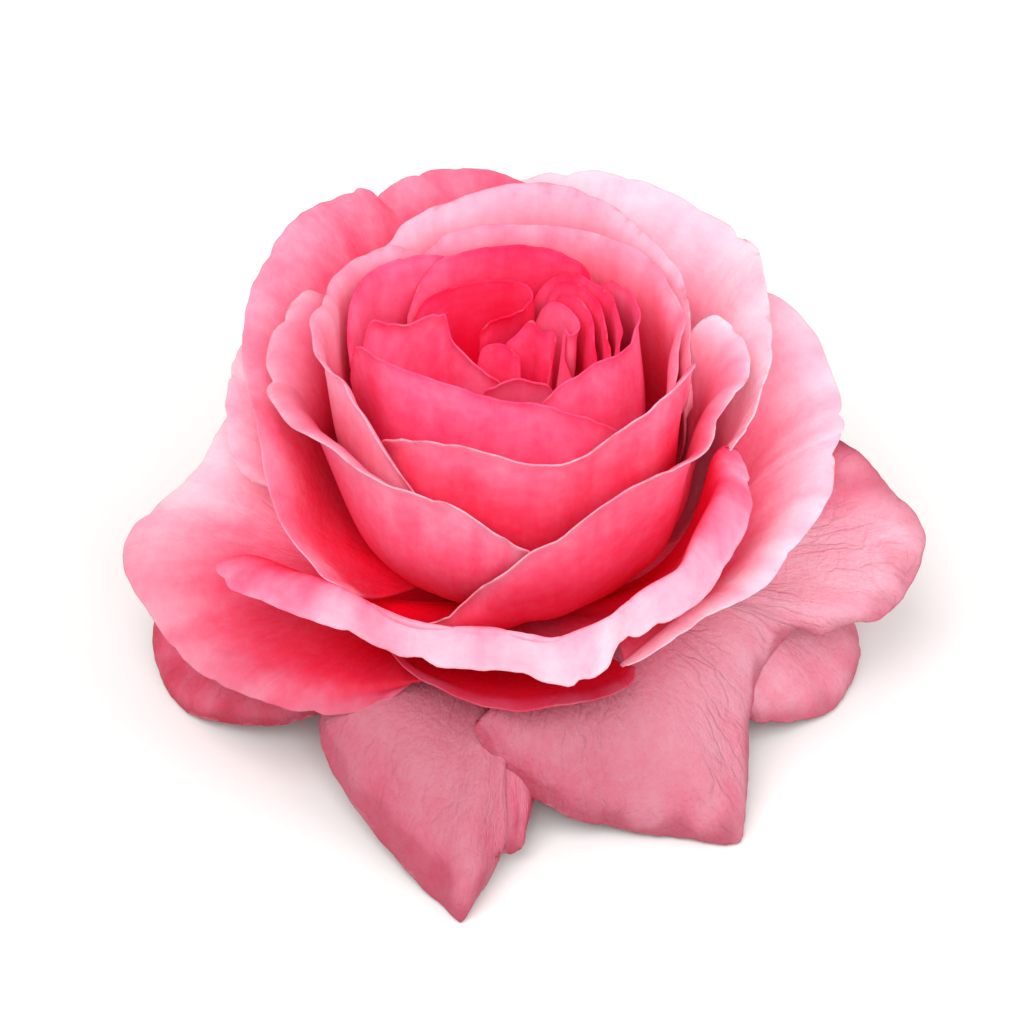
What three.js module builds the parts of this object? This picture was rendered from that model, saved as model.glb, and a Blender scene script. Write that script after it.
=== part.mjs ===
// Double garden rose bloom, cut just under its hip.
// Millimetres, +Z up. Azimuth 0 faces -Y and grows towards +X, round the bloom's own axis.
import * as THREE from "three";

const RAD = Math.PI / 180;

// Petal blades
const PETAL_THICKNESS = 0.6;
const PETAL_ROWS = 7; // lattice rows from claw to rim
const CLAW_HALF_WIDTH = 2.0; // half width of the narrow foot of a petal
const CORNER_CUT = 0.12; // share of the length that is missing at the two side edges
const BELLY_SPREAD = 0.88; // share of the rim's fan that the petal has reached at its belly

// Petals are stacked: a sheet one rank further in lies one pitch higher on the cup's floor.
const STACK_FOOT = 17.4;
const STACK_PITCH = 0.95;
const BELLY_RADIUS = [20.5, 22, 24.2, 25.6, 24.8, 23.8, 22.6, 21, 18.9, 16.4, 13.4, 10.6, 8];
const NECK_STEP = 0.9; // the wall over the belly is this much wider
const NECK_RISE = 13; // height of the wall's control line over the belly

// Receptacle: the petals' feet stand on a cone
const SEAT_TOP = 24.6; // height of the cone's tip
const SEAT_FALL = 0.95; // fall of the cone per millimetre of radius
const SEAT_GAP = 0.52; // offset of a foot from the cone, outwards and upwards
const CLAW_OUTER = 9.0; // radius of the outermost feet
const CLAW_STEP = 0.64; // each rank's feet stand this much further in

// Sepals
const SEPAL_AZIMUTHS = [-12, 60, 132, 204, 276];
const SEPAL_THICKNESS = 0.7;
const SEPAL_HALF_WIDTH = 4.2;
const SEPAL_TIP_HALF = 0.35;
const SEPAL_PATH = [[5.2, 12.6], [13, 15.6], [21, 13], [26, 3.5]]; // radius, height
const SEPAL_TROUGH = 0.9; // how far the side edges turn up

// Turned parts: radius, height
const RECEPTACLE_PROFILE = [
  [0, 0], [2.5, 0], [2.5, 4], [2.9, 6], [4.4, 8], [4.9, 10.2], [4.2, 12.2], [4.4, 14],
  [8, 15], [9.4, 15.5], [6.6, 18.3], [3.8, 21], [1.3, 23.2], [0, 23.4],
];
const STYLES_PROFILE = [
  [0, 23.7], [0.7, 23.7], [0.6, 27], [0.7, 30], [1.1, 31], [1.1, 31.8], [0.6, 32.4], [0, 32.6],
];

// Moves the middle of the bloom's box over the origin
const CENTRE_SHIFT = [-1.68, 1.28];

// Colours
const GUARD = 0xe1788c;
const GUARD_PALE = 0xe9909f;
const OUTER = 0xfe9db0;
const OUTER_PALE = 0xffbccb;
const SHADE = 0xd04a62;
const LIP = 0xfdb6c4;
const CUP = 0xf25f7a;
const CUP_PALE = 0xfe94aa;
const INNER = 0xfa5a7a;
const HEART = 0xf5436a;
const SEPAL_GREEN = 0x6f8f4a;
const HIP_GREEN = 0x7d9a52;
const STYLE_YELLOW = 0xe9c27a;

// Petals from the outside in.
// claw: azimuth and rank of the foot. rank: place in the stack from the left side edge to the right one.
// neck: radius, share of the rim's rise and lift of the wall's control line, for petals that leave the cup.
// share: belly and neck radius as a share of the rim's, for the folded petals of the heart.
// brow: how far the rim's direction reaches back. twist: turn of the belly against the rim, in degrees.
// wave: swing in mm, number of half waves and phase of the rim.
// rim: azimuth, radius, height and lean of the rim; lean 0 stands up, 90 lies flat, 180 hangs.
const PETALS = [
  {
    name: "guard_left", colour: GUARD, claw: [-88, 0], rank: [0, 0], neck: [[34], -0.1, [0]],
    brow: [0.25], wave: [0.9, 2, 0.3],
    rim: [
      [-123, 40, 14, 110], [-108, 46, 9, 120], [-93, 48.5, 4, 120], [-80, 45.5, 3, 120],
      [-68, 38, 3.5, 120], [-55, 31, 8, 115],
    ],
  },
  {
    name: "guard_right_low", colour: GUARD, claw: [82, 0], rank: [0, 0], neck: [[33], -0.1, [0]],
    brow: [0.25], wave: [0.9, 2, 0.6],
    rim: [
      [56, 29, 9, 110], [68, 36, 4, 110], [80, 43.5, 3, 110], [92, 46, 5, 110], [101, 41, 10, 110],
      [108, 34, 14, 110],
    ],
  },
  {
    name: "guard_back_right", colour: GUARD_PALE, claw: [136, 0.5], rank: [1, 0], neck: [[36], 0, [0]],
    brow: [0.25], wave: [0.8, 2, 0],
    rim: [
      [105, 42, 23, 90], [114, 44.5, 19, 100], [128, 46, 6, 125], [142, 46, 0.8, 135],
      [158, 42, 3, 135], [172, 36, 8, 120],
    ],
  },
  {
    name: "guard_back_left", colour: GUARD, claw: [-154, 0], rank: [0, 0], neck: [[34], 0, [0]],
    brow: [0.25], wave: [0.8, 2, 0.5],
    rim: [
      [-186, 36, 10, 120], [-170, 43, 3, 135], [-152, 46, 0.8, 135], [-136, 44, 6, 125],
      [-124, 36, 14, 110],
    ],
  },
  {
    name: "guard_front_left", colour: GUARD, claw: [-26, 0], rank: [0, 0],
    neck: [[31, 31, 25], 0.3, [0]], brow: [0.3],
    rim: [
      [-56.5, 27, 16, 112], [-52, 31.4, 12.8, 117], [-46, 34, 10.4, 122], [-36, 36, 7, 128],
      [-25, 38.8, 4, 130], [-15.5, 42.2, 1.9, 130], [-8.7, 46, 0.5, 130], [-4.4, 42, 1.5, 130],
      [-2.6, 38, 2.5, 130], [-2.2, 35.8, 3.4, 130], [0.4, 35.4, 3.3, 128], [3, 33.6, 3.9, 125],
      [7, 28, 7, 115],
    ],
  },
  {
    name: "guard_front_right", colour: GUARD_PALE, claw: [44, 1.38], rank: [1, 1.2, 1.3, 2],
    neck: [[30.5, 32, 32, 33], 0.05, [0]], brow: [0.28],
    rim: [
      [-8, 29.5, 17, 105], [1, 31.6, 8.6, 120], [10, 32.8, 6, 128], [20, 34, 2.7, 130],
      [31.5, 38.1, 1.2, 130], [41, 43.2, 0.4, 128], [49, 39.8, 3.8, 125], [59, 35.7, 8.7, 120],
      [68, 34.4, 11.8, 114], [76, 36, 13.9, 110], [78, 40, 14.5, 106], [82, 45.6, 15.6, 98],
      [88, 50, 17.4, 88], [95, 52.8, 20.5, 80], [98, 49.6, 24.2, 74], [100.5, 46.6, 28.4, 70],
      [104, 43, 32.4, 66],
    ],
  },
  {
    name: "left_wide", colour: OUTER, claw: [-72, 1.2], rank: [1.2, 1.2], neck: [[32], 0.35, [0]],
    brow: [0.25], wave: [0.9, 3.5, 0.2],
    rim: [
      [-132, 38, 33, 70], [-116, 39.5, 31, 75], [-103, 41, 28, 85], [-92, 49, 20.5, 100],
      [-77, 45, 17.5, 100], [-62, 40, 16, 105], [-47, 33.5, 14.5, 110], [-33, 25, 16.8, 105],
      [-25, 20, 17.3, 105],
    ],
  },
  {
    name: "back_left_outer", colour: OUTER, claw: [-136, 2.4], rank: [2, 2], neck: [[28], 0.4, [0]],
    brow: [0.3], wave: [0.7, 2.5, 0],
    rim: [
      [-175, 34, 38, 65], [-158, 39, 37, 75], [-140, 41, 38, 75], [-124, 38.5, 41, 60],
      [-110, 38, 38, 60], [-96, 35, 33, 60],
    ],
  },
  {
    name: "back_right_outer", colour: OUTER, claw: [150, 2], rank: [2, 2], neck: [[28], 0.4, [0]],
    brow: [0.3], wave: [0.7, 2.5, 0.4],
    rim: [
      [117, 35.5, 36, 65], [130, 41, 35, 85], [150, 43, 33, 90], [168, 41, 34, 85], [183, 36, 38, 70],
    ],
  },
  {
    name: "front_under", colour: SHADE, claw: [2, 2.2], rank: [2.2, 2.2], neck: [[26.5], 0.3, [0]],
    brow: [0.2],
    rim: [
      [-44, 24, 23.5, 50], [-30, 26, 22.3, 65], [-12, 27.6, 20.6, 75], [7, 28.4, 20.6, 75],
      [20, 28.2, 20.8, 75], [29, 27.2, 20.4, 74], [36, 25.4, 19.8, 70],
    ],
  },
  {
    name: "right_wide", colour: OUTER, claw: [88, 3.25], rank: [3.5, 3], neck: [[28], 0.45, [0]],
    brow: [0.3], wave: [0.4, 4.5, 0.5],
    rim: [
      [30, 26.3, 23.8, 50], [43, 28.5, 27, 58], [53, 30.7, 28.9, 62], [62, 33.2, 30.6, 65],
      [72, 36, 32.4, 66], [82, 38, 35.4, 66], [91, 38.6, 37.4, 64], [95, 40, 38.2, 62],
      [103, 40.2, 40.6, 60], [114, 40.2, 44, 60], [126, 37.6, 46.2, 60], [142, 34, 45, 50],
    ],
  },
  {
    name: "front_lip", colour: LIP, claw: [0, 3.5], rank: [3, 3.4, 4.1],
    neck: [[30.5, 31.8, 31.6, 30, 27.5], 0.5, [2, 7, 9.5, 7, 5]],
    brow: [0.25, 0.4, 0.5, 0.54, 0.48, 0.36, 0.28], wave: [0.3, 7, 0],
    rim: [
      [-75, 39.5, 28.5, 95], [-68, 38.3, 27.8, 105], [-61, 34.8, 27.3, 120], [-50, 31.6, 27, 138],
      [-38, 30.2, 27, 152], [-24, 29.6, 26.7, 160], [-10, 29.2, 27, 164], [0, 29.6, 26.8, 165],
      [10, 30.8, 25.6, 165], [19, 30.6, 26.4, 162], [27, 29, 27.6, 158], [36, 29.2, 29, 150],
      [46, 30.2, 30.4, 140], [54, 31, 33.6, 130], [62, 31.4, 37.4, 122], [69, 30.8, 40.6, 115],
      [75, 29, 42.6, 110],
    ],
  },
  {
    name: "back_right", colour: OUTER_PALE, claw: [118, 4.07], rank: [5.3, 4, 2.9], brow: [0.25],
    wave: [0.7, 3.5, 0.1],
    rim: [
      [68, 25, 36, 12], [75, 26.6, 42, 22], [84, 28, 47, 30], [104, 30.5, 51, 45], [124, 34, 53, 55],
      [145, 33.5, 55, 55], [165, 32, 57, 45], [184, 32.6, 53, 45], [198, 32, 46, 45],
    ],
  },
  {
    name: "back_left", colour: OUTER, claw: [-168, 5], rank: [5.1, 3.5], brow: [0.25],
    wave: [0.6, 3, 0.7],
    rim: [
      [-212, 24, 46, 15], [-200, 26.5, 54, 25], [-185, 28.6, 56, 35], [-170, 32.5, 56.8, 40],
      [-158, 34, 56, 50], [-148, 35.4, 52.5, 50], [-138, 35.5, 47, 50], [-128, 33, 40, 50],
    ],
  },
  {
    name: "left_side", colour: OUTER, claw: [-98, 5], rank: [5, 5], brow: [0.25], wave: [0.7, 3, 0.4],
    rim: [
      [-156, 27.6, 48, 30], [-149, 33.4, 55.6, 45], [-140, 36, 55.4, 55], [-130, 37, 53.5, 55],
      [-116, 35, 51, 50], [-98, 32.5, 47.5, 40], [-80, 30.3, 43, 30], [-60, 29, 36, 25],
      [-48, 27, 31, 25],
    ],
  },
  {
    name: "right_front", colour: CUP, claw: [40, 5.3], rank: [5.1, 6.2, 5.3],
    brow: [0.2, 0.2, 0.22, 0.26, 0.22], wave: [0.5, 4, 0.3],
    rim: [
      [-26, 22.9, 29, 12], [-17, 22.8, 32, 8], [-8, 23, 36, 5], [6, 23.5, 42.5, 5], [22, 24, 47, 8],
      [40, 24.8, 49.4, 15], [58, 25, 48.6, 32], [69, 24.7, 49.2, 42], [80, 26.6, 50.4, 52],
      [90, 27.2, 51.8, 48], [98, 26, 53.4, 38], [104, 23.6, 53.4, 28], [112, 22.4, 49, 20],
    ],
  },
  {
    name: "left_front", colour: CUP, claw: [-45, 6.4], rank: [6, 6, 7.3],
    brow: [0.22, 0.25, 0.24, 0.2, 0.2], wave: [0.5, 3.5, 0],
    rim: [
      [-126, 22.5, 48, 15], [-112, 27.5, 54, 50], [-92, 30, 51, 70], [-72, 28.5, 50, 60],
      [-52, 25.3, 50, 35], [-32, 23.2, 48.3, 12], [-12, 22.3, 45.4, 4], [3, 22, 41.4, 0],
      [15, 21.8, 37, 0],
    ],
  },
  {
    name: "back_light", colour: CUP_PALE, claw: [168, 6.35], rank: [6.6, 6.1], brow: [0.25],
    wave: [0.5, 3, 0.2],
    rim: [
      [94, 20.8, 46, 5], [110, 21.4, 53, 10], [126, 22, 56.5, 15], [148, 23.5, 58.5, 25],
      [172, 24.5, 59.5, 25], [196, 24.5, 58, 25], [216, 23.8, 56, 20], [230, 23.4, 50, 15],
    ],
  },
  {
    name: "left_inner", colour: CUP, claw: [-84, 7.5], rank: [7.1, 7, 7.3], brow: [0.25],
    wave: [0.3, 3, 0],
    rim: [
      [-158, 20, 50, 0], [-140, 21.2, 56, 8], [-122, 23, 56, 14], [-106, 23, 56, 12],
      [-90, 23.2, 57, 12], [-76, 22.7, 56.5, 8], [-60, 21.8, 55.4, 2], [-42, 21, 50, 0],
      [-24, 20.2, 42, -2],
    ],
  },
  {
    name: "front_mid", colour: INNER, claw: [8, 8.3], rank: [8, 8.1, 7.3], brow: [0.25],
    wave: [0.3, 3.5, 0.5],
    rim: [
      [-62, 19.4, 44, 0], [-48, 19.6, 50, 2], [-32, 19.4, 53, 8], [-12, 19.2, 53, 14],
      [12, 20, 52.2, 16], [30, 20, 53, 8], [46, 20.8, 56, 5], [60, 23, 60, 12], [70, 21, 54, 5],
    ],
  },
  {
    name: "back_mid", colour: INNER, claw: [148, 7.6], rank: [7.6, 7.4, 7.8], brow: [0.25],
    wave: [0.3, 3, 0],
    rim: [
      [75, 18.4, 48, 0], [88, 18.8, 54, 5], [104, 19, 56, 8], [126, 19.5, 57.5, 10],
      [152, 17.8, 58, 8], [178, 17.4, 58, 8], [204, 18.9, 57, 8], [222, 20.2, 52, 5],
    ],
  },
  {
    name: "left_mid", colour: INNER, claw: [-124, 8.35], rank: [8.6, 8.1], brow: [0.25],
    rim: [
      [-168, 16, 51, 0], [-150, 16.6, 55.5, 5], [-132, 18.7, 56.5, 10], [-112, 20.4, 56, 10],
      [-100, 20.2, 51, 5],
    ],
  },
  {
    name: "front_inner", colour: INNER, claw: [-34, 9.4], rank: [9.1, 9, 8.5], brow: [0.25],
    wave: [0.25, 3.5, 0],
    rim: [
      [-92, 19.2, 49, 0], [-82, 19, 55.2, 5], [-66, 17.5, 57.3, 5], [-48, 15.8, 57.4, 2],
      [-26, 14.8, 57.4, 4], [-4, 14.2, 56.2, 6], [16, 14.4, 55, 4], [32, 15.8, 53.3, 4],
      [48, 17, 50, 2],
    ],
  },
  {
    name: "right_inner", colour: INNER, claw: [76, 9.7], rank: [9.7, 8.3], brow: [0.25],
    rim: [
      [2, 11.6, 49, -5], [16, 11.8, 54.2, -2], [30, 12, 56.2, 2], [44, 12.4, 57, 4],
      [56, 13.6, 57.6, 5], [66, 14.3, 58, 4], [78, 14.4, 58.3, 2], [96, 14.4, 57.4, 0],
      [112, 14.5, 57, 0], [128, 14.5, 56.4, 0], [146, 14.2, 52, 0],
    ],
  },
  {
    name: "back_inner", colour: INNER, claw: [178, 9.25], rank: [9.3, 9.2], brow: [0.25],
    rim: [
      [122, 13.1, 51, 0], [136, 13.1, 56, 0], [154, 13.5, 57.4, 0], [176, 13.8, 57.6, 0],
      [198, 14.3, 57.2, 0], [216, 16.1, 55.6, 0], [230, 17.2, 50.5, 0],
    ],
  },
  {
    name: "right_nest_1", colour: HEART, claw: [108, 10.7], rank: [10.1, 10.3], brow: [0.25],
    rim: [
      [60, 13, 50, -5], [66, 12.9, 54, 0], [76, 12.4, 56, 5], [92, 12, 56.8, 5], [110, 11.9, 57, 0],
      [128, 11.7, 57, 0], [146, 11.8, 56.4, 0], [160, 12, 54.5, 0], [172, 12, 51, 0],
    ],
  },
  {
    name: "right_nest_2", colour: HEART, claw: [128, 11.4], rank: [11.1, 11.3], brow: [0.25],
    rim: [
      [62, 11.5, 49.5, -5], [70, 11.4, 53.5, 0], [82, 10.8, 55.4, 5], [100, 10.4, 56.1, 5],
      [120, 10.4, 56.4, 0], [137, 10.6, 56.3, 0], [152, 10.8, 55.2, 0], [163, 10.8, 51, 0],
    ],
  },
  {
    name: "right_nest_3", colour: HEART, claw: [120, 12.05], rank: [12.1, 12.2], brow: [0.25],
    rim: [
      [70, 9.7, 49, 0], [76, 9.6, 53, 0], [86, 9.1, 55, 5], [100, 9, 55.7, 5], [118, 9, 55.9, 0],
      [134, 9.2, 55.7, 0], [148, 9.4, 54.4, 0], [158, 9.4, 50, 0],
    ],
  },
  {
    name: "heart_back", colour: HEART, claw: [-154, 10.5], rank: [10.4, 10.6], share: [0.8, 1],
    brow: [0.3],
    rim: [
      [-147, 7.4, 50.5, -10], [-149, 6.4, 52.8, -15], [-160, 5.7, 53.4, -20], [-176, 5.5, 53.9, -25],
      [-188, 6.1, 54.3, -25], [-194, 7.4, 54.6, -20], [-190, 8.8, 55, -15], [-180, 9.9, 55, -20],
      [-166, 10.6, 55, -20], [-150, 11.5, 54.6, -20], [-137, 12.9, 53.8, -15], [-130, 14.3, 52.6, -10],
      [-127, 16, 50, 0],
    ],
  },
  {
    name: "left_fan", colour: HEART, claw: [-84, 10.35], rank: [10.3, 10.4], share: [0.76, 1],
    brow: [0.3], twist: 22,
    rim: [
      [-104, 19, 50, 0], [-104, 17.8, 54, 5], [-103, 15.6, 54, 5], [-104, 13.6, 54, 0],
      [-111, 12, 54.2, 0], [-118, 10.2, 54.4, 0], [-118, 9.2, 54.2, 0], [-111, 8, 52.6, 0],
      [-97, 6.2, 51.6, 5], [-78, 4.7, 51, 10], [-57, 3.4, 50.4, 10], [-34, 2.8, 49.4, 10],
      [-14, 2.8, 47, 5],
    ],
  },
  {
    name: "heart_face", colour: HEART, claw: [101, 12.83], rank: [12.8, 13], share: [0.85, 1],
    brow: [0.3],
    rim: [
      [76, 7.4, 48.5, 0], [80, 6.4, 50, 5], [90, 5.6, 51.2, 5], [99, 5.6, 52.3, 5], [106, 6, 53.6, 5],
      [110, 6.3, 54.1, 5], [102, 6.8, 53.8, 5], [101, 7.4, 54.6, 5], [108, 7.6, 55.2, 5],
      [124, 7.5, 55.4, 0], [142, 7.7, 55, 0], [156, 7.9, 53.6, 0], [166, 7.8, 50, 0],
    ],
  },
  {
    name: "heart_cave", colour: HEART, claw: [159, 13.38], rank: [13.7, 13.7], share: [0.9, 1],
    brow: [0.3],
    rim: [
      [104, 4.2, 49.5, 5], [109, 4.8, 52.2, 5], [116, 4.9, 53.2, 5], [126, 4.2, 52.9, 5],
      [140, 4, 53.2, 0], [154, 4.3, 53.8, 0], [172, 3.7, 52.4, 0], [190, 3.6, 51.2, 0],
      [200, 3.8, 50.4, 0], [206, 4.3, 48.5, 0],
    ],
  },
  {
    name: "heart_front", colour: HEART, claw: [-8, 10.4], rank: [10.4, 10.4], share: [0.85, 1],
    brow: [0.3],
    rim: [
      [-40, 6.6, 48, 0], [-30, 6.7, 51.2, 5], [-14, 6.5, 52.8, 10], [4, 6.5, 53.3, 15],
      [22, 7.1, 53, 15], [33, 7.7, 51.8, 10], [40, 7.9, 48.5, 5],
    ],
  },
  {
    name: "heart_lobe", colour: HEART, claw: [-115, 12.31], rank: [14.5, 14.5], share: [0.7, 1],
    brow: [0.3],
    rim: [
      [-205, 1.8, 47.5, 0], [-196, 1.8, 49.6, 5], [-172, 2.2, 50.6, 5], [-152, 3.1, 50.9, 5],
      [-140, 4.4, 50.6, 5], [-133, 5.6, 49.8, 5], [-130, 6.2, 47.5, 0],
    ],
  },
];

const outward = (azimuth) => new THREE.Vector3(Math.sin(azimuth * RAD), -Math.cos(azimuth * RAD), 0);

const slanted = (azimuth, lean) => {
  const direction = outward(azimuth).multiplyScalar(Math.sin(lean * RAD));
  direction.z = Math.cos(lean * RAD);
  return direction;
};

// Value of a list at 0..1 along it, in straight steps
function ramp(list, t) {
  if (list.length === 1) return list[0];
  const x = Math.min(Math.max(t, 0), 1) * (list.length - 1);
  const i = Math.min(Math.floor(x), list.length - 2);
  return list[i] + (list[i + 1] - list[i]) * (x - i);
}

// Row of values at 0..1 along a list of rows, in a smooth curve through all of them
function curveThrough(rows, t) {
  const last = rows.length - 1;
  const x = Math.min(Math.max(t, 0), 1) * last;
  const i = Math.min(Math.floor(x), last - 1);
  const f = x - i;
  const value = (k, column) => {
    if (k < 0) return 2 * rows[0][column] - rows[1][column];
    if (k > last) return 2 * rows[last][column] - rows[last - 1][column];
    return rows[k][column];
  };
  return rows[0].map((_, column) => {
    const [a, b, c, d] = [-1, 0, 1, 2].map((step) => value(i + step, column));
    return b + 0.5 * f * (c - a + f * (2 * a - 5 * b + 4 * c - d + f * (3 * (b - c) + d - a)));
  });
}

// Point on a petal's middle surface: u runs from the left side edge (-1) to the right one (1), v from foot to rim
function petalPoint(petal, u, v) {
  const across = (u + 1) / 2;
  const [azimuth, radius, height, lean] = curveThrough(petal.rim, across);
  const first = petal.rim[0][0];
  const last = petal.rim[petal.rim.length - 1][0];
  const rank = ramp(petal.rank, (azimuth - first) / (last - first));
  const t = v * (1 - CORNER_CUT * (1 - Math.pow(1 - Math.pow(Math.abs(u), 5), 0.2)));

  const [clawAzimuth, clawRank] = petal.claw;
  const clawRadius = CLAW_OUTER - CLAW_STEP * clawRank;
  const clawHalf = Math.min(CLAW_HALF_WIDTH, 0.6 * clawRadius);
  const claw = outward(clawAzimuth).multiplyScalar(clawRadius);
  claw.addScaledVector(outward(clawAzimuth + 90), u * clawHalf).setLength(clawRadius + SEAT_GAP);
  claw.z = SEAT_TOP - SEAT_FALL * clawRadius + SEAT_GAP;

  const edge = outward(azimuth).multiplyScalar(radius);
  edge.z = height;
  const [swing, halfWaves, phase] = petal.wave ?? [0, 0, 0];
  edge.addScaledVector(slanted(azimuth, lean + 90), swing * Math.sin(Math.PI * (halfWaves * u + phase)));

  const middle = (first + last) / 2;
  const twist = petal.twist ?? 0;
  const bellyRadius = petal.share ? petal.share[0] * radius : ramp(BELLY_RADIUS, rank / (BELLY_RADIUS.length - 1));
  const belly = outward(middle + BELLY_SPREAD * (azimuth - middle) + twist).multiplyScalar(bellyRadius);
  belly.z = STACK_FOOT + STACK_PITCH * rank;

  const rise = height - belly.z;
  let neckRadius = bellyRadius + NECK_STEP;
  let neckRise = Math.min(NECK_RISE, 0.8 * rise);
  if (petal.share) {
    neckRadius = petal.share[1] * radius;
    neckRise = 0.5 * rise;
  }
  if (petal.neck) {
    neckRadius = ramp(petal.neck[0], across);
    neckRise = petal.neck[1] * rise + ramp(petal.neck[2], across);
  }
  const neck = outward(azimuth + twist / 2).multiplyScalar(neckRadius);
  neck.z = belly.z + neckRise;

  const brow = edge.clone();
  brow.addScaledVector(slanted(azimuth, lean), -ramp(petal.brow, across) * edge.distanceTo(claw));

  const s = 1 - t;
  return new THREE.Vector3()
    .addScaledVector(claw, s ** 4)
    .addScaledVector(belly, 4 * s ** 3 * t)
    .addScaledVector(neck, 6 * s * s * t * t)
    .addScaledVector(brow, 4 * s * t ** 3)
    .addScaledVector(edge, t ** 4);
}

// Point on a sepal's middle surface
function sepalPoint(azimuth, u, v) {
  const s = 1 - v;
  const weights = [s ** 3, 3 * s * s * v, 3 * s * v * v, v ** 3];
  const along = (column) => SEPAL_PATH.reduce((sum, row, i) => sum + weights[i] * row[column], 0);
  const swell = 0.62 + 0.38 * Math.sin(Math.PI * Math.min(1, v * 1.6));
  const half = SEPAL_TIP_HALF + SEPAL_HALF_WIDTH * Math.pow(s, 0.8) * swell;
  const point = outward(azimuth).multiplyScalar(along(0));
  point.addScaledVector(outward(azimuth + 90), u * half);
  point.z = along(1) + SEPAL_TROUGH * u * u * s;
  return point;
}

// Closed blade of even thickness round a middle surface; both faces are split into the same triangles
function bladeGeometry(pointAt, columns, rows, thickness) {
  const grid = [];
  for (let j = 0; j < rows; j++)
    for (let i = 0; i < columns; i++) grid.push(pointAt(-1 + (2 * i) / (columns - 1), j / (rows - 1)));
  const at = (i, j) => grid[j * columns + i];
  const normal = (i, j) => {
    const alongU = at(Math.min(i + 1, columns - 1), j).clone().sub(at(Math.max(i - 1, 0), j));
    const alongV = at(i, Math.min(j + 1, rows - 1)).clone().sub(at(i, Math.max(j - 1, 0)));
    return alongU.cross(alongV).normalize();
  };
  const positions = [];
  for (const side of [0.5, -0.5])
    for (let j = 0; j < rows; j++)
      for (let i = 0; i < columns; i++) {
        const point = at(i, j).clone().addScaledVector(normal(i, j), side * thickness);
        positions.push(point.x, point.y, point.z);
      }
  const under = columns * rows;
  const id = (i, j) => j * columns + i;
  const index = [];
  const quad = (a, b, c, d) => index.push(a, b, c, a, c, d);
  for (let j = 0; j < rows - 1; j++)
    for (let i = 0; i < columns - 1; i++) {
      const [a, b, c, d] = [id(i, j), id(i + 1, j), id(i + 1, j + 1), id(i, j + 1)];
      index.push(a, b, c, a, c, d);
      index.push(a + under, c + under, b + under, a + under, d + under, c + under);
    }
  for (let i = 0; i < columns - 1; i++) {
    const [a, b] = [id(i, 0), id(i + 1, 0)];
    const [c, d] = [id(i, rows - 1), id(i + 1, rows - 1)];
    quad(a + under, b + under, b, a);
    quad(c, d, d + under, c + under);
  }
  for (let j = 0; j < rows - 1; j++) {
    const [a, b] = [id(0, j), id(0, j + 1)];
    const [c, d] = [id(columns - 1, j), id(columns - 1, j + 1)];
    quad(b + under, a + under, a, b);
    quad(c + under, d + under, d, c);
  }
  const geometry = new THREE.BufferGeometry();
  geometry.setAttribute("position", new THREE.Float32BufferAttribute(positions, 3));
  geometry.setIndex(index);
  return geometry;
}

const turned = (profile, segments) => {
  const points = profile.map(([radius, height]) => new THREE.Vector2(radius, height));
  return new THREE.LatheGeometry(points, segments).rotateX(Math.PI / 2);
};

const rose = new THREE.Group();
rose.name = "rose";

function addPart(name, geometry, colour, roughness) {
  const material = new THREE.MeshStandardMaterial({ color: colour, roughness, metalness: 0 });
  geometry.translate(CENTRE_SHIFT[0], CENTRE_SHIFT[1], 0);
  const mesh = new THREE.Mesh(geometry, material);
  mesh.name = name;
  rose.add(mesh);
}

for (const petal of PETALS) {
  const columns = 2 * petal.rim.length - 1;
  const blade = bladeGeometry((u, v) => petalPoint(petal, u, v), columns, PETAL_ROWS, PETAL_THICKNESS);
  addPart(petal.name, blade, petal.colour, 0.55);
}
SEPAL_AZIMUTHS.forEach((azimuth, i) => {
  const blade = bladeGeometry((u, v) => sepalPoint(azimuth, u, v), 5, 9, SEPAL_THICKNESS);
  addPart("sepal_" + (i + 1), blade, SEPAL_GREEN, 0.65);
});
addPart("receptacle", turned(RECEPTACLE_PROFILE, 24), HIP_GREEN, 0.6);
addPart("styles", turned(STYLES_PROFILE, 10), STYLE_YELLOW, 0.6);

export default rose;
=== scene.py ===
# %% [markdown]
# # A double garden rose
#
# The bloom is a cup of thirty four petals that stand on a small green cone.
# Five sepals hang under it, and a short stub of the stem holds them.
# The CAD part has every petal as a thin plate with few facets. This script
# draws the same petals again as fine skins, with curled margins, ruffles
# and veins, and each new piece takes the place of its plate.

# %% Load the frame
import math

import bpy
import numpy as np
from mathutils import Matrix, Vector


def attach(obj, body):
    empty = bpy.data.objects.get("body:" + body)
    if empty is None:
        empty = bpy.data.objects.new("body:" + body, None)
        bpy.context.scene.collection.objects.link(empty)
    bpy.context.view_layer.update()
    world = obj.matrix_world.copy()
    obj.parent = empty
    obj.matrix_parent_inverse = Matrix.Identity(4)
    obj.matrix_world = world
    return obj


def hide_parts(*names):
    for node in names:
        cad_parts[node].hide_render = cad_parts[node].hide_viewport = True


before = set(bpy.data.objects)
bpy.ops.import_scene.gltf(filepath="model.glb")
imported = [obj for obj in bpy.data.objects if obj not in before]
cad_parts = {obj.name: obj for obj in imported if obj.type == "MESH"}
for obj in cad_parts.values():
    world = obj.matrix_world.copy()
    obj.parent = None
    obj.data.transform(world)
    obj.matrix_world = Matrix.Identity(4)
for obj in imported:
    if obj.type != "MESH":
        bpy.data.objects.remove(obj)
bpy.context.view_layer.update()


# %% [markdown]
# Petals are told apart by where they stand round the bloom. Azimuth 0 faces
# the viewer and grows to the right. All lengths in the tables are
# millimetres, and a mesh is turned into metres only when it is made.

# %% Directions and curves
MM = 0.001
UP = np.array([0.0, 0.0, 1.0])


def outward(azimuth):
    """Level direction away from the bloom's axis"""
    turn = np.radians(azimuth)
    return np.stack([np.sin(turn), -np.cos(turn), 0 * turn], -1)


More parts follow.
